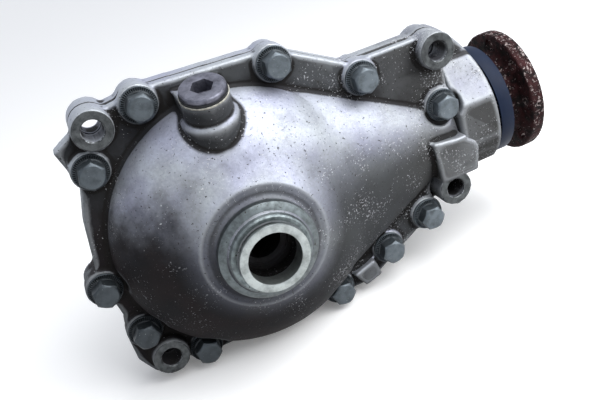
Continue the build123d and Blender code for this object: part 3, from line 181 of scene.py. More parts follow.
paper, tree, shader, _ = start_material("white paper", 0.0, 0.9)
shader.inputs["Specular IOR Level"].default_value = 0.1
tint = add(tree, "ShaderNodeMix", {0: seen_directly(tree), 6: linear("#4c4a4a"), 7: linear("#fdfdfd")},
           data_type="RGBA")
tree.links.new(tint.outputs[2], shader.inputs["Base Color"])
# The lamps leave the paper a little grey, so it glows by what is missing to white
glow = add(tree, "ShaderNodeMath", {0: seen_directly(tree), 1: PAPER_GLOW}, operation="MULTIPLY")
tree.links.new(glow.outputs[0], shader.inputs["Emission Strength"])
shader.inputs["Emission Color"].default_value = linear("#ffffff")
floor_mesh.materials.append(paper)

world = bpy.data.worlds.new("studio")
world.use_nodes = True
bpy.context.scene.world = world
sky = world.node_tree
height = add(sky, "ShaderNodeSeparateXYZ", {0: add(sky, "ShaderNodeTexCoord").outputs["Generated"]})
overhead = add(sky, "ShaderNodeMapRange", {"Value": height.outputs["Z"], "From Min": 0.1,
                                           "From Max": 0.95, "To Min": 0.03, "To Max": 0.7},
               interpolation_type="SMOOTHSTEP")
strength = add(sky, "ShaderNodeMix", {0: seen_directly(sky), 2: overhead.outputs[0], 3: 1.0})
sky.links.new(strength.outputs[0], sky.nodes["Background"].inputs["Strength"])
sky.nodes["Background"].inputs["Color"].default_value = linear("#eef3fc")


def lamp(name, kind, energy, place, target, **settings):
    """A lamp at a place, in millimetres, that looks at a target."""
    data = bpy.data.lights.new(name, kind)
    data.energy = energy
    for setting, value in settings.items():
        setattr(data, setting, value)
    made = bpy.data.objects.new(name, data)
    made.location = Vector(place) * MM
    made.rotation_euler = (Vector(target) * MM - made.location).to_track_quat("-Z", "Y").to_euler()
    bpy.context.scene.collection.objects.link(made)


lamp("overhead", "SUN", 0.8, (450, 120, 1300), (30, -80, 0), angle=math.radians(40))
lamp("softbox", "AREA", 7.4, (400, -470, 620), (40, -110, 10), shape="RECTANGLE", size=0.8, size_y=0.6)
lamp("side", "AREA", 2.6, (720, -560, 260), (60, -110, 0), shape="RECTANGLE", size=0.5, size_y=0.5)
lamp("fill", "AREA", 0.5, (-500, -900, 250), (30, -80, 0), size=0.6)
print("floor at", round(cad_box[0][2] / MM, 1), "mm")

# %% [markdown]
# ## Die-cast aluminium
#
# Both halves of the housing are aluminium cast in a steel mould and left as they came out: a fine grey
# skin, mottled where the metal froze, not polished. Upright faces are painted darker as painted shade,
# most on the left; oil and road dirt with painted shade blacken the side that hangs lowest; grime with
# painted shade fills the hollows, and the bore behind the collar is painted black as painted shade; dark
# pits open, and chalk-white corrosion grows where water stands. The recipe is layered in that order,
# each layer with its own mask, so that each can be tuned alone.

# %% Die-cast aluminium
# Where the two castings meet, in millimetres
JOINT_Y = -99.0


def cast_aluminium():
    """Weathered aluminium die casting."""
    made, tree, shader, place = start_material("die-cast aluminium", 0.7, 0.5)
    shader.inputs["Specular IOR Level"].default_value = 0.12
    spot = add(tree, "ShaderNodeSeparateXYZ", {0: place})
    facing = add(tree, "ShaderNodeSeparateXYZ", {0: tree.nodes["Texture Coordinate"].outputs["Normal"]})

    # The skin: cloudy patches some 30 mm wide with a mottle of about a millimetre in them
    clouds = add(tree, "ShaderNodeTexNoise", {"Vector": place, "Scale": every(34), "Detail": 3.0})
    mottle = add(tree, "ShaderNodeTexNoise", {"Vector": place, "Scale": every(1.7), "Detail": 4.0,
                                              "Roughness": 0.65})
    patch = add(tree, "ShaderNodeMapRange", {"Value": clouds.outputs[0], "From Min": 0.35,
                                             "From Max": 0.65})
    skin = add(tree, "ShaderNodeMix", {0: patch.outputs[0], 6: linear("#a9adbf"), 7: linear("#b8bec4")},
               data_type="RGBA")
    grain = add(tree, "ShaderNodeMapRange", {"Value": mottle.outputs[0], "From Min": 0.3, "From Max": 0.7,
                                             "To Min": 0.0, "To Max": 0.3})
    skin = add(tree, "ShaderNodeMix", {0: grain.outputs[0], 6: skin.outputs[2], 7: linear("#6f6c6c")},
               data_type="RGBA")

    # Near the output collar the painted shade and the dirt below are weakened, so the ring round it stays
    # lighter
    across = add(tree, "ShaderNodeVectorMath", {0: place, 1: (1.0, 0.0, 1.0)}, operation="MULTIPLY")
    radius = add(tree, "ShaderNodeVectorMath", {0: across.outputs[0]}, operation="LENGTH")
    away = add(tree, "ShaderNodeMapRange", {"Value": radius.outputs["Value"], "From Min": 40 * MM,
                                            "From Max": 55 * MM, "To Min": 0.55, "To Max": 1.0})

    # Painted shade: upright faces are painted a dark grey, darker on the left, while faces that look up
    # stay bright
    left = add(tree, "ShaderNodeMapRange", {"Value": spot.outputs["X"], "From Min": 60 * MM,
                                            "From Max": -80 * MM})
    upright_shade = add(tree, "ShaderNodeMapRange", {"Value": facing.outputs["Z"], "From Min": -0.05,
                                              "From Max": 0.5, "To Min": 0.95, "To Max": 0.0},
                 interpolation_type="SMOOTHSTEP")
    upright_shade = add(tree, "ShaderNodeMath", {0: upright_shade.outputs[0], 1: away.outputs[0]}, operation="MULTIPLY")
    upright = add(tree, "ShaderNodeMix", {0: left.outputs[0], 6: linear("#404243"), 7: linear("#19191a")},
                  data_type="RGBA")
    skin = add(tree, "ShaderNodeMix", {0: upright_shade.outputs[0], 6: skin.outputs[2], 7: upright.outputs[2]},
               data_type="RGBA")

    # Oil flung off by the turning companion flange has dulled the nose
    nose = add(tree, "ShaderNodeMapRange", {"Value": spot.outputs["X"], "From Min": 90 * MM,
                                            "From Max": 140 * MM, "To Max": 0.4})
    skin = add(tree, "ShaderNodeMix", {0: nose.outputs[0], 6: skin.outputs[2], 7: linear("#55534f")},
               data_type="RGBA")

    # Oil and road dirt together with painted shade darken the part low down and to the left, in streaks
    low = add(tree, "ShaderNodeMapRange", {"Value": spot.outputs["Z"], "From Min": 70 * MM,
                                           "From Max": -55 * MM})
    both = add(tree, "ShaderNodeMath", {0: low.outputs[0], 1: left.outputs[0]}, operation="MULTIPLY")
    streaks = add(tree, "ShaderNodeTexNoise", {"Vector": place, "Scale": every(16), "Detail": 5.0,
                                               "Roughness": 0.6})
    gentle = add(tree, "ShaderNodeMapRange", {"Value": streaks.outputs[0], "To Min": 0.2, "To Max": 0.8})
    dirt_and_shade = add(tree, "ShaderNodeMath", {0: both.outputs[0], 1: gentle.outputs[0]}, operation="ADD")
    dirt_and_shade = add(tree, "ShaderNodeMapRange", {"Value": dirt_and_shade.outputs[0], "From Min": 0.43, "From Max": 1.0,
                                            "To Max": 0.97}, interpolation_type="SMOOTHSTEP")
    dirt_and_shade = add(tree, "ShaderNodeMath", {0: dirt_and_shade.outputs[0], 1: away.outputs[0]}, operation="MULTIPLY")
    rusty = add(tree, "ShaderNodeMapRange", {"Value": clouds.outputs[0], "From Min": 0.4,
                                             "From Max": 0.6})
    dirt_shade_colour = add(tree, "ShaderNodeMix", {0: rusty.outputs[0], 6: linear("#141315"), 7: linear("#241f20")},
               data_type="RGBA")
    skin = add(tree, "ShaderNodeMix", {0: dirt_and_shade.outputs[0], 6: skin.outputs[2], 7: dirt_shade_colour.outputs[2]},
               data_type="RGBA")

    # Grime with painted shade darkens hollows and inside corners, and edges that stand out are rubbed
    # brighter
    hollow = add(tree, "ShaderNodeAttribute", attribute_name="hollow").outputs["Fac"]
    uneven = add(tree, "ShaderNodeMapRange", {"Value": streaks.outputs[0], "To Min": -0.12,
                                              "To Max": 0.12})
    depth = add(tree, "ShaderNodeMath", {0: hollow, 1: uneven.outputs[0]}, operation="ADD")
    grime_and_shade = add(tree, "ShaderNodeMapRange", {"Value": depth.outputs[0], "From Min": 0.05, "From Max": 0.3,
                                             "To Max": 0.95})
    grime_and_shade = add(tree, "ShaderNodeMath", {0: grime_and_shade.outputs[0], 1: away.outputs[0]}, operation="MULTIPLY")
    skin = add(tree, "ShaderNodeMix", {0: grime_and_shade.outputs[0], 6: skin.outputs[2], 7: linear("#1b1918")},
               data_type="RGBA")
    rubbed = add(tree, "ShaderNodeMapRange", {"Value": depth.outputs[0], "From Min": -0.15,
                                              "From Max": -0.5, "To Max": 0.6})
    skin = add(tree, "ShaderNodeMix", {0: rubbed.outputs[0], 6: skin.outputs[2], 7: linear("#a6aaae")},
               data_type="RGBA")

    # A line of old sealant and dirt along the joint of the two castings
    off = add(tree, "ShaderNodeMath", {0: spot.outputs["Y"], 1: JOINT_Y * MM}, operation="SUBTRACT")
    off = add(tree, "ShaderNodeMath", {0: off.outputs[0]}, operation="ABSOLUTE")
    line = add(tree, "ShaderNodeMapRange", {"Value": off.outputs[0], "From Min": 1.5 * MM,
                                            "From Max": 0.7 * MM, "To Max": 0.9})
    skin = add(tree, "ShaderNodeMix", {0: line.outputs[0], 6: skin.outputs[2], 7: linear("#1e1c1b")},
               data_type="RGBA")

    # Painted shade: the passage behind the output collar, where little light reaches, is painted near
    # black
    bore_shade = add(tree, "ShaderNodeMapRange", {"Value": radius.outputs["Value"], "From Min": 19.5 * MM,
                                              "From Max": 18.5 * MM})
    skin = add(tree, "ShaderNodeMix", {0: bore_shade.outputs[0], 6: skin.outputs[2], 7: linear("#0d0c0c")},
               data_type="RGBA")

    # Dark pits under a millimetre wide, where gas was caught under the skin
    pits = add(tree, "ShaderNodeTexNoise", {"Vector": place, "Scale": every(1.5), "Detail": 2.0,
                                            "Roughness": 0.6})
    pit = add(tree, "ShaderNodeMapRange", {"Value": pits.outputs[0], "From Min": 0.35, "From Max": 0.29,
                                           "To Max": 0.9})
    skin = add(tree, "ShaderNodeMix", {0: pit.outputs[0], 6: skin.outputs[2], 7: linear("#332f2d")},
               data_type="RGBA")

    # White corrosion: crumbs under a millimetre wide that come in clusters, more of them on the right
    crumbs = add(tree, "ShaderNodeTexNoise", {"Vector": place, "Scale": every(1.4), "Detail": 3.0,
                                              "Roughness": 0.7})
    cluster = add(tree, "ShaderNodeTexNoise", {"Vector": place, "Scale": every(20), "Detail": 2.0})
    wetter = add(tree, "ShaderNodeMapRange", {"Value": spot.outputs["X"], "From Min": 0.0,
                                              "From Max": 100 * MM, "To Min": 0.34, "To Max": 0.42})
    crowd = add(tree, "ShaderNodeMath", {0: cluster.outputs[0], 1: wetter.outputs[0]},
                operation="MULTIPLY")
    chalk = add(tree, "ShaderNodeMath", {0: crumbs.outputs[0], 1: crowd.outputs[0]}, operation="ADD")
    chalk = add(tree, "ShaderNodeMapRange", {"Value": chalk.outputs[0], "From Min": 0.83, "From Max": 0.9,
                                             "To Max": 0.9})
    skin = add(tree, "ShaderNodeMix", {0: chalk.outputs[0], 6: skin.outputs[2], 7: linear("#c9cbd0")},
               data_type="RGBA")
    tree.links.new(skin.outputs[2], shader.inputs["Base Color"])

    # Dirt and chalk aren't metal, and they scatter light more; the painted shade is made dull in the same
    # way
    dull = add(tree, "ShaderNodeMath", {0: dirt_and_shade.outputs[0], 1: chalk.outputs[0]}, operation="MAXIMUM")
    dull = add(tree, "ShaderNodeMath", {0: dull.outputs[0], 1: grime_and_shade.outputs[0]}, operation="MAXIMUM")
    dull = add(tree, "ShaderNodeMath", {0: dull.outputs[0], 1: bore_shade.outputs[0]}, operation="MAXIMUM")
    dull = add(tree, "ShaderNodeMath", {0: dull.outputs[0], 1: upright_shade.outputs[0]}, operation="MAXIMUM")
    metal = add(tree, "ShaderNodeMapRange", {"Value": dull.outputs[0], "To Min": 0.6, "To Max": 0.0})
    rough = add(tree, "ShaderNodeMapRange", {"Value": dull.outputs[0], "To Min": 0.5, "To Max": 0.68})
    tree.links.new(metal.outputs[0], shader.inputs["Metallic"])
    tree.links.new(rough.outputs[0], shader.inputs["Roughness"])

    # Relief: the mottle, the pits sunk in it and the crumbs standing on it
    relief = add(tree, "ShaderNodeMath", {0: mottle.outputs[0], 1: 0.5}, operation="MULTIPLY")
    relief = add(tree, "ShaderNodeMath", {0: relief.outputs[0], 1: pit.outputs[0]}, operation="SUBTRACT")
    relief = add(tree, "ShaderNodeMath", {0: relief.outputs[0], 1: chalk.outputs[0]}, operation="ADD")
    bump = add(tree, "ShaderNodeBump", {"Height": relief.outputs[0], "Strength": 0.5,
                                        "Distance": 0.35 * MM})
    tree.links.new(bump.outputs[0], shader.inputs["Normal"])
    return made


die_cast = cast_aluminium()
print(die_cast.name, "has", len(die_cast.node_tree.nodes), "nodes")

# %% [markdown]
# ## Machined aluminium
#
# The collar and the faces of the mounting bosses were cut on a lathe or a mill, so they are flatter and
# brighter than the skin. Age has dulled them unevenly and left fine scratches and dark nicks. One recipe
# gives three states: bright for the collar, dull for its base, and grimy for the bosses, where dirt has
# crept in under the washers of the mounting bolts.

# %% Machined aluminium
def machined_aluminium(name, colour, stained):
    """Aluminium cut by a rotating tool, gone grey with age, in two colours."""
    made, tree, shader, place = start_material(name, 0.85, 0.36)
    stains = add(tree, "ShaderNodeTexNoise", {"Vector": place, "Scale": every(4), "Detail": 5.0,
                                              "Roughness": 0.65})
    stain = add(tree, "ShaderNodeMapRange", {"Value": stains.outputs[0], "From Min": 0.4,
                                             "From Max": 0.68})
    skin = add(tree, "ShaderNodeMix", {0: stain.outputs[0], 6: linear(colour), 7: linear(stained)},
               data_type="RGBA")
    nicks = add(tree, "ShaderNodeTexNoise", {"Vector": place, "Scale": every(2.6), "Detail": 2.0})
    nick = add(tree, "ShaderNodeMapRange", {"Value": nicks.outputs[0], "From Min": 0.31, "From Max": 0.26,
                                            "To Max": 0.9})
    skin = add(tree, "ShaderNodeMix", {0: nick.outputs[0], 6: skin.outputs[2], 7: linear("#26231e")},
               data_type="RGBA")
    tree.links.new(skin.outputs[2], shader.inputs["Base Color"])
    scratches = add(tree, "ShaderNodeTexNoise", {"Vector": place, "Scale": every(0.9), "Detail": 3.0})
    bump = add(tree, "ShaderNodeBump", {"Height": scratches.outputs[0], "Strength": 0.25,
                                        "Distance": 0.15 * MM})
    tree.links.new(bump.outputs[0], shader.inputs["Normal"])
    rough = add(tree, "ShaderNodeMapRange", {"Value": stains.outputs[0], "To Min": 0.28, "To Max": 0.55})
    tree.links.new(rough.outputs[0], shader.inputs["Roughness"])
    return made


machined = machined_aluminium("machined aluminium", "#778081", "#4f5557")
dulled = machined_aluminium("dulled machined aluminium", "#62696b", "#464b4c")
grimy = machined_aluminium("grimy machined aluminium", "#515455", "#2d2f30")
print(machined.name, "in three states")

# %% [markdown]
# ## Zinc-plated steel
#
# The bolts are steel under a thin grey coat of zinc, a trace blue. The coat is dull and blotched where
# dirt has dried on it. Dirt and painted shade make it darkest on the bolts that hang low on the left, and
# grime with painted shade fills the gaps between the serrations of the skirt and the foot of the head.

# %% Zinc-plated steel
def zinc_plated_steel():
    """Zinc coat on steel, a few years old."""
    made, tree, shader, place = start_material("zinc-plated steel", 0.7, 0.42)
    blotches = add(tree, "ShaderNodeTexNoise", {"Vector": place, "Scale": every(5), "Detail": 5.0,
                                                "Roughness": 0.6})
    blotch = add(tree, "ShaderNodeMapRange", {"Value": blotches.outputs[0], "From Min": 0.42,
                                              "From Max": 0.7})
    skin = add(tree, "ShaderNodeMix", {0: blotch.outputs[0], 6: linear("#636b71"), 7: linear("#474d51")},
               data_type="RGBA")
    # Oily dirt with painted shade darkens the bolts towards the left and the bottom
    spot = add(tree, "ShaderNodeSeparateXYZ", {0: place})
    left = add(tree, "ShaderNodeMapRange", {"Value": spot.outputs["X"], "From Min": 110 * MM,
                                            "From Max": -90 * MM, "To Max": 0.8})
    low = add(tree, "ShaderNodeMapRange", {"Value": spot.outputs["Z"], "From Min": 80 * MM,
                                           "From Max": -40 * MM, "To Min": 0.6, "To Max": 1.0})
    dirt_and_shade = add(tree, "ShaderNodeMath", {0: left.outputs[0], 1: low.outputs[0]}, operation="MULTIPLY")
    skin = add(tree, "ShaderNodeMix", {0: dirt_and_shade.outputs[0], 6: skin.outputs[2], 7: linear("#25292c")},
               data_type="RGBA")
    crumbs = add(tree, "ShaderNodeTexNoise", {"Vector": place, "Scale": every(1.1), "Detail": 3.0})
    chalk = add(tree, "ShaderNodeMapRange", {"Value": crumbs.outputs[0], "From Min": 0.68,
                                             "From Max": 0.76, "To Max": 0.7})
    skin = add(tree, "ShaderNodeMix", {0: chalk.outputs[0], 6: skin.outputs[2], 7: linear("#b4bab9")},
               data_type="RGBA")
    # Grime with painted shade darkens the hollows: the gaps of the serrations and the foot of the head
    hollow = add(tree, "ShaderNodeAttribute", attribute_name="hollow").outputs["Fac"]
    skin = add(tree, "ShaderNodeMix", {0: hollow, 6: skin.outputs[2], 7: linear("#131415")},
               data_type="RGBA")
    tree.links.new(skin.outputs[2], shader.inputs["Base Color"])
    rough = add(tree, "ShaderNodeMapRange", {"Value": blotches.outputs[0], "To Min": 0.3, "To Max": 0.62})
    tree.links.new(rough.outputs[0], shader.inputs["Roughness"])
    bump = add(tree, "ShaderNodeBump", {"Height": crumbs.outputs[0], "Strength": 0.3,
                                        "Distance": 0.1 * MM})
    tree.links.new(bump.outputs[0], shader.inputs["Normal"])
    return made


zinc = zinc_plated_steel()
print(zinc.name)

# %% [markdown]
# ## Rusted steel
#
# The companion flange is bare forged steel that has rusted almost black, with a red-brown bloom and pale
# flakes where scale has lifted, most of them on the rim. Rust isn't metal: it is rough and scatters
# light, so metallic is low.

# %% Rusted steel
def rusted_steel():
    """Forged steel under old rust."""
    made, tree, shader, place = start_material("rusted forged steel", 0.1, 0.7)
    shader.inputs["Specular IOR Level"].default_value = 0.15
    bloom = add(tree, "ShaderNodeTexNoise", {"Vector": place, "Scale": every(6), "Detail": 6.0,
                                             "Roughness": 0.65})
    red = add(tree, "ShaderNodeMapRange", {"Value": bloom.outputs[0], "From Min": 0.4, "From Max": 0.66})
    skin = add(tree, "ShaderNodeMix", {0: red.outputs[0], 6: linear("#0c0808"), 7: linear("#3f2122")},
               data_type="RGBA")
    scale = add(tree, "ShaderNodeTexNoise", {"Vector": place, "Scale": every(2.4), "Detail": 4.0,
                                             "Roughness": 0.7})
    facing = add(tree, "ShaderNodeSeparateXYZ", {0: tree.nodes["Texture Coordinate"].outputs["Normal"]})
    rim = add(tree, "ShaderNodeMath", {0: facing.outputs["X"]}, operation="ABSOLUTE")
    rim = add(tree, "ShaderNodeMapRange", {"Value": rim.outputs[0], "From Min": 0.8, "From Max": 0.3,
                                           "To Min": -0.03, "To Max": 0.045})
    lifted = add(tree, "ShaderNodeMath", {0: scale.outputs[0], 1: rim.outputs[0]}, operation="ADD")
    flake = add(tree, "ShaderNodeMapRange", {"Value": lifted.outputs[0], "From Min": 0.6,
                                             "From Max": 0.65, "To Max": 0.85})
    skin = add(tree, "ShaderNodeMix", {0: flake.outputs[0], 6: skin.outputs[2], 7: linear("#b3a5a3")},
               data_type="RGBA")
    tree.links.new(skin.outputs[2], shader.inputs["Base Color"])
    relief = add(tree, "ShaderNodeMath", {0: scale.outputs[0], 1: flake.outputs[0]}, operation="ADD")
    bump = add(tree, "ShaderNodeBump", {"Height": relief.outputs[0], "Strength": 0.8,
                                        "Distance": 0.5 * MM})
    tree.links.new(bump.outputs[0], shader.inputs["Normal"])
    return made


rust = rusted_steel()
print(rust.name)

# %% [markdown]
# ## Blue-painted steel, turned steel, gear steel and rubber
#
# The dust deflector is a thin pressing in dark blue paint. Seal cases are plain turned steel. The gears
# inside are ground steel, wet with oil. The seals' rubber is nitrile, near black. The plug has the dark
# grey of phosphate, and the rim of its seat is painted near white, a painted highlight where the head
# shades it.

# %% The remaining finishes
def speckled(name, metallic, roughness, colour, spots, spacing, amount):
    """One colour with spots of another, so many millimetres apart and of so much strength."""
    made, tree, shader, place = start_material(name, metallic, roughness)
    cloud = add(tree, "ShaderNodeTexNoise", {"Vector": place, "Scale": every(spacing), "Detail": 5.0,
                                             "Roughness": 0.65})
    share = add(tree, "ShaderNodeMapRange", {"Value": cloud.outputs[0], "From Min": 0.4, "From Max": 0.72,
                                             "To Max": amount})
    skin = add(tree, "ShaderNodeMix", {0: share.outputs[0], 6: linear(colour), 7: linear(spots)},
               data_type="RGBA")
    tree.links.new(skin.outputs[2], shader.inputs["Base Color"])
    rough = add(tree, "ShaderNodeMapRange", {"Value": cloud.outputs[0], "To Min": roughness - 0.1,
                                             "To Max": roughness + 0.15})
    tree.links.new(rough.outputs[0], shader.inputs["Roughness"])
    bump = add(tree, "ShaderNodeBump", {"Height": cloud.outputs[0], "Strength": 0.3,
                                        "Distance": 0.2 * MM})
    tree.links.new(bump.outputs[0], shader.inputs["Normal"])
    return made


painted_blue = speckled("blue-painted steel", 0.0, 0.5, "#101b30", "#1b273c", 9, 0.6)
painted_blue.node_tree.nodes["Principled BSDF"].inputs["Specular IOR Level"].default_value = 0.15
turned_steel = speckled("turned steel", 0.9, 0.33, "#a3a9a8", "#5d615f", 6, 0.8)
gear_steel = speckled("oiled gear steel", 0.8, 0.35, "#4b4a4c", "#2b2724", 12, 0.8)
nitrile = speckled("nitrile rubber", 0.0, 0.6, "#131313", "#2b2927", 4, 0.6)
fibre = speckled("fibre washer", 0.0, 0.8, "#17181a", "#303134", 3, 0.6)
plug_steel = speckled("phosphated steel", 0.8, 0.4, "#6c6d78", "#35343c", 5, 0.9)
# A painted highlight: near white, for the rim of the plug's seat that the head shades
highlit = speckled("chalked aluminium", 0.1, 0.7, "#cfcdc2", "#6f6c64", 2, 0.9)
finishes = {
    "cast_aluminium": die_cast, "zinc_steel": zinc, "gear_steel": gear_steel, "rusted_steel": rust,
    "blue_steel": painted_blue, "seal_rubber": nitrile, "seal_steel": turned_steel, "washer_fibre": fibre,
}
own_finish = {"filler_plug": plug_steel}
print(sorted(finishes))

# %% [markdown]
# ## Give every solid its finish
#
# Each solid names the slot of material that it was made in, so one loop dresses them all. A solid comes
# in as loose triangles: Weld joins them, Bevel breaks the sharp edges as a deburring tool would, and
# Edge Split keeps what is left of them crisp, while the round faces are shaded smooth.

# %% Give every solid its finish
# Points closer than this, in millimetres, are one point
WELD = 0.002


def clean_edges(piece, bevel, crease=34):
    """Modifiers that join a solid's triangles, break its edges by some millimetres and shade it."""
    weld = piece.modifiers.new("Weld", "WELD")
    weld.merge_threshold = WELD * MM
    if bevel:
        broken = piece.modifiers.new("Bevel", "BEVEL")
        broken.width = bevel * MM
        broken.segments = 2
        broken.limit_method = "ANGLE"
        broken.angle_limit = math.radians(40)
        broken.harden_normals = False
    split = piece.modifiers.new("EdgeSplit", "EDGE_SPLIT")
    split.split_angle = math.radians(crease)
    for face in piece.data.polygons:
        face.use_smooth = True


# Bevels of the pieces that are large enough to show one, in millimetres
BEVELS = {"filler_plug": 0.4, "output_seal_left": 0.5, "output_seal_right": 0.5, "dust_deflector": 0.3,
          "pinion_nut": 0.4}
for part in frame["record"]["subparts"]:
    solid = nodes[part["node"]]
    solid.data.materials.clear()
    solid.data.materials.append(own_finish.get(part["node"], finishes[part["material_slot"]]))
    clean_edges(solid, bevel=BEVELS.get(part["node"], 0))

# %% [markdown]
# ## The two castings
#
# A mould can't hold a knife edge, so every corner of a casting is rounded. Bevelling hundreds of edges
# where curved surfaces meet is fragile. Remeshing the whole solid in small voxels and smoothing the
# result a little rounds all of them at once, inside corners too, which is what a fillet in a mould does.
# On the cover, the crease between dome and bulge is smoothed for longer, as one runs into the other.
#
# Grime gathers in hollows, and the material paints shade into them as well, so it has to know where
# they are. Smoothing lifts the bottom of a hollow and sinks an edge, and how far it would move each point
# is stored on the mesh as "hollow": above zero in a hollow, below zero on an edge. At last the mesh is
# thinned where it is flat, which keeps it light.

# %% The two castings
# The crease between dome and bulge lies within these bounds, in millimetres, outside the collar's circle
SEAM_X = (14, 80)
SEAM_Z = (-58, 64)
SEAM_Y = -116
COLLAR_CIRCLE_R = 42
MOST_TRIANGLES = 190000


def new_piece(name, mesh, body, finish):
    """An object for a finished mesh, with its material, riding on a body."""
    piece = bpy.data.objects.new(name, mesh)
    bpy.context.scene.collection.objects.link(piece)
    mesh.materials.clear()
    mesh.materials.append(finish)
    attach(piece, body)
    return piece


def remeshed(node, voxel, rounds, name):
    """A node's mesh rebuilt from voxels of some millimetres and smoothed."""
    bm = bmesh.new()
    bm.from_mesh(nodes[node].data)
    bmesh.ops.remove_doubles(bm, verts=bm.verts, dist=WELD * MM)
    source = bpy.data.meshes.new(name + "_source")
    bm.to_mesh(source)
    bm.free()
    blank = bpy.data.objects.new(name + "_source", source)
    bpy.context.scene.collection.objects.link(blank)
    skin = blank.modifiers.new("Skin", "REMESH")
    skin.mode = "VOXEL"
    skin.voxel_size = voxel * MM
    skin.use_smooth_shade = True
    soft = blank.modifiers.new("Fillets", "SMOOTH")
    soft.factor = 0.5
    soft.iterations = rounds
    depsgraph = bpy.context.evaluated_depsgraph_get()
    mesh = bpy.data.meshes.new_from_object(blank.evaluated_get(depsgraph))
    mesh.name = name
    bpy.data.objects.remove(blank)
    return mesh


def smoothed(bm, verts, rounds):
    """Points moved towards their neighbours a number of times."""
    for _ in range(rounds):
        bmesh.ops.smooth_vert(bm, verts=verts, factor=0.5, use_axis_x=True, use_axis_y=True,
                              use_axis_z=True)


def mark_hollows(mesh, rounds):
    """Store on each point, as "hollow", how many millimetres smoothing lifts it out of its surface."""
    bm = bmesh.new()
    bm.from_mesh(mesh)
    bm.normal_update()
    before = [(vertex.co.copy(), vertex.normal.copy()) for vertex in bm.verts]
    smoothed(bm, bm.verts, rounds)
    depths = [(vertex.co - place).dot(normal) / MM
              for vertex, (place, normal) in zip(bm.verts, before)]
    bm.free()
    mesh.attributes.new("hollow", "FLOAT", "POINT").data.foreach_set("value", depths)
    print(mesh.name, "hollows up to", round(max(depths), 2), "mm")


def thinned(mesh, triangles):
    """A mesh of quads brought down to so many triangles, fewest where it is flat."""
    blank = bpy.data.objects.new(mesh.name, mesh)
    bpy.context.scene.collection.objects.link(blank)
    fewer = blank.modifiers.new("Fewer", "DECIMATE")
    fewer.ratio = triangles / (2 * len(mesh.polygons))
    depsgraph = bpy.context.evaluated_depsgraph_get()
    made = bpy.data.meshes.new_from_object(blank.evaluated_get(depsgraph))
    bpy.data.objects.remove(blank)
    made.name = mesh.name + "_thin"
    return made


cover_mesh = remeshed("side_cover", voxel=1.1, rounds=2, name="cast_cover")
bm = bmesh.new()
bm.from_mesh(cover_mesh)
seam = [vertex for vertex in bm.verts
        if SEAM_X[0] * MM < vertex.co.x < SEAM_X[1] * MM
        and SEAM_Z[0] * MM < vertex.co.z < SEAM_Z[1] * MM
        and vertex.co.y < SEAM_Y * MM
        and math.hypot(vertex.co.x, vertex.co.z) > COLLAR_CIRCLE_R * MM]
smoothed(bm, seam, rounds=40)
bm.to_mesh(cover_mesh)
bm.free()
mark_hollows(cover_mesh, rounds=24)
cover = new_piece("cast_cover", thinned(cover_mesh, MOST_TRIANGLES), "casing", die_cast)
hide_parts("side_cover")

casing_mesh = remeshed("casing", voxel=1.3, rounds=2, name="cast_casing")
mark_hollows(casing_mesh, rounds=18)
housing = new_piece("cast_casing", thinned(casing_mesh, MOST_TRIANGLES), "casing", die_cast)
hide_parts("casing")
for piece in (cover, housing):
    print(piece.name, len(piece.data.polygons), "faces")

# %% [markdown]
# ## Flange bolts
#
# A flange bolt has a hexagon head and a washer-like skirt in one piece. The head is a six-sided prism,
# cut by a cone that takes its six top corners off, as the forging die does. The skirt and the shank are
# one outline spun about the bolt's axis. Serrations run round the skirt, and the gaps between them and
# the foot of the head, where grime and painted shade go, are marked in the same attribute as the hollows
# of the castings. The bolt is built once and copied to each hole, each copy turned a little further, as
# bolts never stop at the same angle.

# %% Flange bolts
# Sizes in millimetres, heights above the seat
BOLT_FLATS = 15.0
BOLT_FLANGE_R = 10.9
BOLT_RIM = 1.6
BOLT_SKIRT = 3.4
BOLT_HEAD = 11.0
BOLT_SHANK_R = 5.0
BOLT_LENGTH = 24.0
BOLT_OUTLINE = [
    (0, BOLT_SKIRT), (7.9, BOLT_SKIRT), (8.6, 3.0), (8.9, 2.9), (10.2, 2.15), (10.5, 1.8),
    (BOLT_FLANGE_R, BOLT_RIM - 0.3), (BOLT_FLANGE_R, 0.35), (BOLT_FLANGE_R - 0.3, 0.0),
    (BOLT_SHANK_R, 0.0), (BOLT_SHANK_R, 1 - BOLT_LENGTH), (BOLT_SHANK_R - 1, -BOLT_LENGTH),
    (0, -BOLT_LENGTH)]
# The prism of the head starts inside the skirt, and the cone that cuts it widens downwards from the crown
HEAD_FOOT = 1.0
CROWN_R = 6.7
CROWN_SLOPE = 1.15
CROWN_REACH = 14.0
# The number of serrations, the radii between which they and the painted shade with grime inside them lie,
# and their depth
TICKS = 48
TICK_BAND = (8.8, 10.3)
SHADE_AND_GRIME_BAND = (7.0, 8.7)
TICK_DEPTH = 0.9
# Degrees from one bolt to the next
BOLT_TURN = 23


def spun(outline, steps):
    """A closed bmesh spun about Z from an outline of (radius, height) in millimetres."""
    bm = bmesh.new()
    points = [bm.verts.new((radius * MM, 0, height * MM)) for radius, height in outline]
    edges = [bm.edges.new(pair) for pair in zip(points, points[1:])]
    bmesh.ops.spin(bm, geom=points + edges, cent=(0, 0, 0), axis=(0, 0, 1), steps=steps,
                   angle=math.tau, use_merge=True)
    bmesh.ops.remove_doubles(bm, verts=bm.verts, dist=WELD * MM)
    bmesh.ops.recalc_face_normals(bm, faces=bm.faces)
    return bm


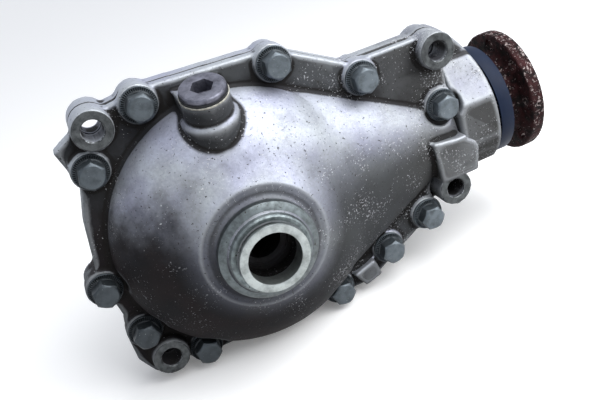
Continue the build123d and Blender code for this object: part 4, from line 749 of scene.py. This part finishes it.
def bolt_mesh():
    """One flange bolt with its seat at the origin and its head towards +Z."""
    head = bpy.data.meshes.new("head")
    bm = bmesh.new()
    corner_r = BOLT_FLATS / math.sqrt(3)
    bmesh.ops.create_cone(bm, cap_ends=True, segments=6, radius1=corner_r * MM, radius2=corner_r * MM,
                          depth=(BOLT_HEAD - HEAD_FOOT) * MM,
                          matrix=Matrix.Translation((0, 0, (BOLT_HEAD + HEAD_FOOT) / 2 * MM)))
    bm.to_mesh(head)
    bm.free()
    crown = bpy.data.meshes.new("crown")
    bm = bmesh.new()
    bmesh.ops.create_cone(bm, cap_ends=True, segments=72,
                          radius1=(CROWN_R + CROWN_REACH * CROWN_SLOPE) * MM, radius2=CROWN_R * MM,
                          depth=CROWN_REACH * MM,
                          matrix=Matrix.Translation((0, 0, (BOLT_HEAD - CROWN_REACH / 2) * MM)))
    bm.to_mesh(crown)
    bm.free()
    blank = bpy.data.objects.new("blank", head)
    cutter = bpy.data.objects.new("cutter", crown)
    for piece in (blank, cutter):
        bpy.context.scene.collection.objects.link(piece)
    cut = blank.modifiers.new("Crown", "BOOLEAN")
    cut.operation = "INTERSECT"
    cut.solver = "EXACT"
    cut.object = cutter
    broken = blank.modifiers.new("Bevel", "BEVEL")
    broken.width = 0.25 * MM
    broken.segments = 2
    broken.limit_method = "ANGLE"
    broken.angle_limit = math.radians(25)
    depsgraph = bpy.context.evaluated_depsgraph_get()
    headed = bpy.data.meshes.new_from_object(blank.evaluated_get(depsgraph))
    bpy.data.objects.remove(blank)
    bpy.data.objects.remove(cutter)
    bm = spun(BOLT_OUTLINE, steps=2 * TICKS)
    # The die pressed the serrations in: on top of the skirt every other point of two rings is lower
    # Low points and the foot of the head are marked as "hollow", for grime with painted shade
    hollow = bm.verts.layers.float.new("hollow")
    for vertex in bm.verts:
        radius = vertex.co.xy.length / MM
        turn = math.atan2(vertex.co.y, vertex.co.x) / math.tau * 2 * TICKS
        on_top = vertex.co.z > MM
        if on_top and TICK_BAND[0] < radius < TICK_BAND[1] and round(turn) % 2:
            vertex.co.z -= TICK_DEPTH * MM
            vertex[hollow] = 1.0
        elif on_top and SHADE_AND_GRIME_BAND[0] < radius < SHADE_AND_GRIME_BAND[1]:
            vertex[hollow] = 0.7
    bm.from_mesh(headed)
    mesh = bpy.data.meshes.new("bolt")
    bm.to_mesh(mesh)
    bm.free()
    return mesh


def bolt_places():
    """Centres of the bolts' seats, from the flat tops of the solid bolts."""
    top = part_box("cover_bolts")[0].y
    corners = {tuple(round(c, 6) for c in v.co) for v in nodes["cover_bolts"].data.vertices}
    corners = [Vector(c) for c in corners if c[1] < top + 0.01 * MM]
    # Corners of one head lie within 1.3 widths of each other, and other heads are farther off
    centres = []
    for corner in corners:
        if all((corner - centre).length > BOLT_FLATS * MM for centre in centres):
            near = [c for c in corners if (c - corner).length < 1.3 * BOLT_FLATS * MM]
            middle = sum(near, Vector()) / len(near)
            centres.append(middle + Vector((0, BOLT_HEAD * MM, 0)))
    return sorted(centres, key=lambda centre: centre.x)


one_bolt = bolt_mesh()
places = bolt_places()
bm = bmesh.new()
for number, centre in enumerate(places):
    start = len(bm.verts)
    bm.from_mesh(one_bolt)
    bm.verts.ensure_lookup_table()
    spin = Matrix.Rotation(math.radians(BOLT_TURN * number), 4, "Z")
    lay = Matrix.Rotation(math.radians(90), 4, "X")
    bmesh.ops.transform(bm, matrix=Matrix.Translation(centre) @ lay @ spin, verts=bm.verts[start:])
bolts_mesh = bpy.data.meshes.new("flange_bolts")
bm.to_mesh(bolts_mesh)
bm.free()
bolts = new_piece("flange_bolts", bolts_mesh, "casing", zinc)
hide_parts("cover_bolts")
clean_edges(bolts, bevel=0, crease=22)
print(len(places), "bolts,", len(bolts_mesh.polygons), "faces")

# %% [markdown]
# ## Machined faces
#
# The castings are rough, and only the faces that something seats on are cut. The collar round the
# output bore is turned, and each mounting boss and the plug's seat are spot-faced. They lie a tenth of a
# millimetre proud of the cast skin, so that both never share one surface.

# %% Machined faces
# Outlines in millimetres. The collar's is (radius, Y), from the lip of the bore outwards
PROUD = 0.12
COLLAR_OUTLINE = [(21.3, -160.0), (21.3, -164.5), (23.4, -164.6), (24.4, -163.7), (25.5, -161.2),
                  (29.6, -159.3), (30.4, -158.5), (30.5, -154.5), (30.2, -153.6)]
# The face of a mounting boss: its lining, measured from the wall of the hole, and its outer edge,
# measured from the axis. Heights are above the face
HOLE_LINING = [(0.05, -4.0), (0.05, -0.6), (0.7, PROUD)]
FACE_EDGE = [(11.3, PROUD), (11.7, -0.3)]
# The seat of the filler plug, with heights above the washer's underside, and the tilt of its axis
SEAT_OUTLINE = [(13.9, 0.06), (14.35, 0.06), (14.5, -0.1), (14.5, -0.9), (14.2, -1.2)]
WASHER_HALF = 0.75
PLUG_TILT = 19


def cut_face(name, outline, steps, origin, direction, finish):
    """A skin spun from an outline about +Z, turned along a direction and moved to an origin."""
    bm = spun(outline, steps)
    turn = Vector(direction).to_track_quat("Z", "Y").to_matrix().to_4x4()
    bmesh.ops.transform(bm, matrix=Matrix.Translation(origin) @ turn, verts=bm.verts)
    mesh = bpy.data.meshes.new(name)
    bm.to_mesh(mesh)
    bm.free()
    clean_edges(new_piece(name, mesh, "casing", finish), bevel=0)


for name, outline, finish in (("turned_collar", COLLAR_OUTLINE[:4], machined),
                              ("collar_base", COLLAR_OUTLINE[3:], dulled)):
    cut_face(name, [(radius, -y + PROUD) for radius, y in outline], steps=120,
             origin=(0, 0, 0), direction=(0, -1, 0), finish=finish)

for name in ("mount_upper_left", "mount_upper_right", "mount_lower_left", "mount_lower_right"):
    mount = mounts[name]
    bore = mount["dims"]["r_mm"]
    length = mount["dims"]["length_mm"]
    lining = [(bore + out, length + up) for out, up in HOLE_LINING]
    edge = [(radius, length + up) for radius, up in FACE_EDGE]
    cut_face(name + "_face", lining + edge, steps=64, origin=mount["pos_m"], direction=mount["axis"],
             finish=grimy)

# The cutter left a rim round the top of the plug's boss, painted near white as a painted highlight
washer_low, washer_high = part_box("filler_plug_washer")
tilt = math.radians(PLUG_TILT)
middle = (washer_low + washer_high) / 2
axis = Vector((0, -math.sin(tilt), math.cos(tilt)))
cut_face("plug_seat", SEAT_OUTLINE, steps=96, origin=middle - axis * WASHER_HALF * MM, direction=axis,
         finish=highlit)
print("collar, 4 boss faces and the plug's seat")

# %% [markdown]
# ## Rusted companion flange
#
# Rust eats a surface unevenly. The flange is remeshed fine enough to carry that, and each point is
# sunk along its normal by a noise of a few tenths of a millimetre, never raised, so that it keeps its
# size.

# %% Rusted companion flange
# Millimetres from one pit to the next, and the depth of the deepest
RUST_SPACING = 3.0
RUST_DEPTH = 0.4

flange_mesh = remeshed("pinion_flange", voxel=0.85, rounds=1, name="rusted_flange")
bm = bmesh.new()
bm.from_mesh(flange_mesh)
bm.normal_update()
for vertex in bm.verts:
    wear = 0.5 + 0.5 * noise.fractal(vertex.co / (RUST_SPACING * MM), 0.8, 2.0, 3)
    vertex.co -= vertex.normal * max(0.0, min(1.0, wear)) * RUST_DEPTH * MM
bm.to_mesh(flange_mesh)
bm.free()
rusted_flange = new_piece("rusted_flange", flange_mesh, "pinion", rust)
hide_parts("pinion_flange")
print(len(flange_mesh.polygons), "faces")
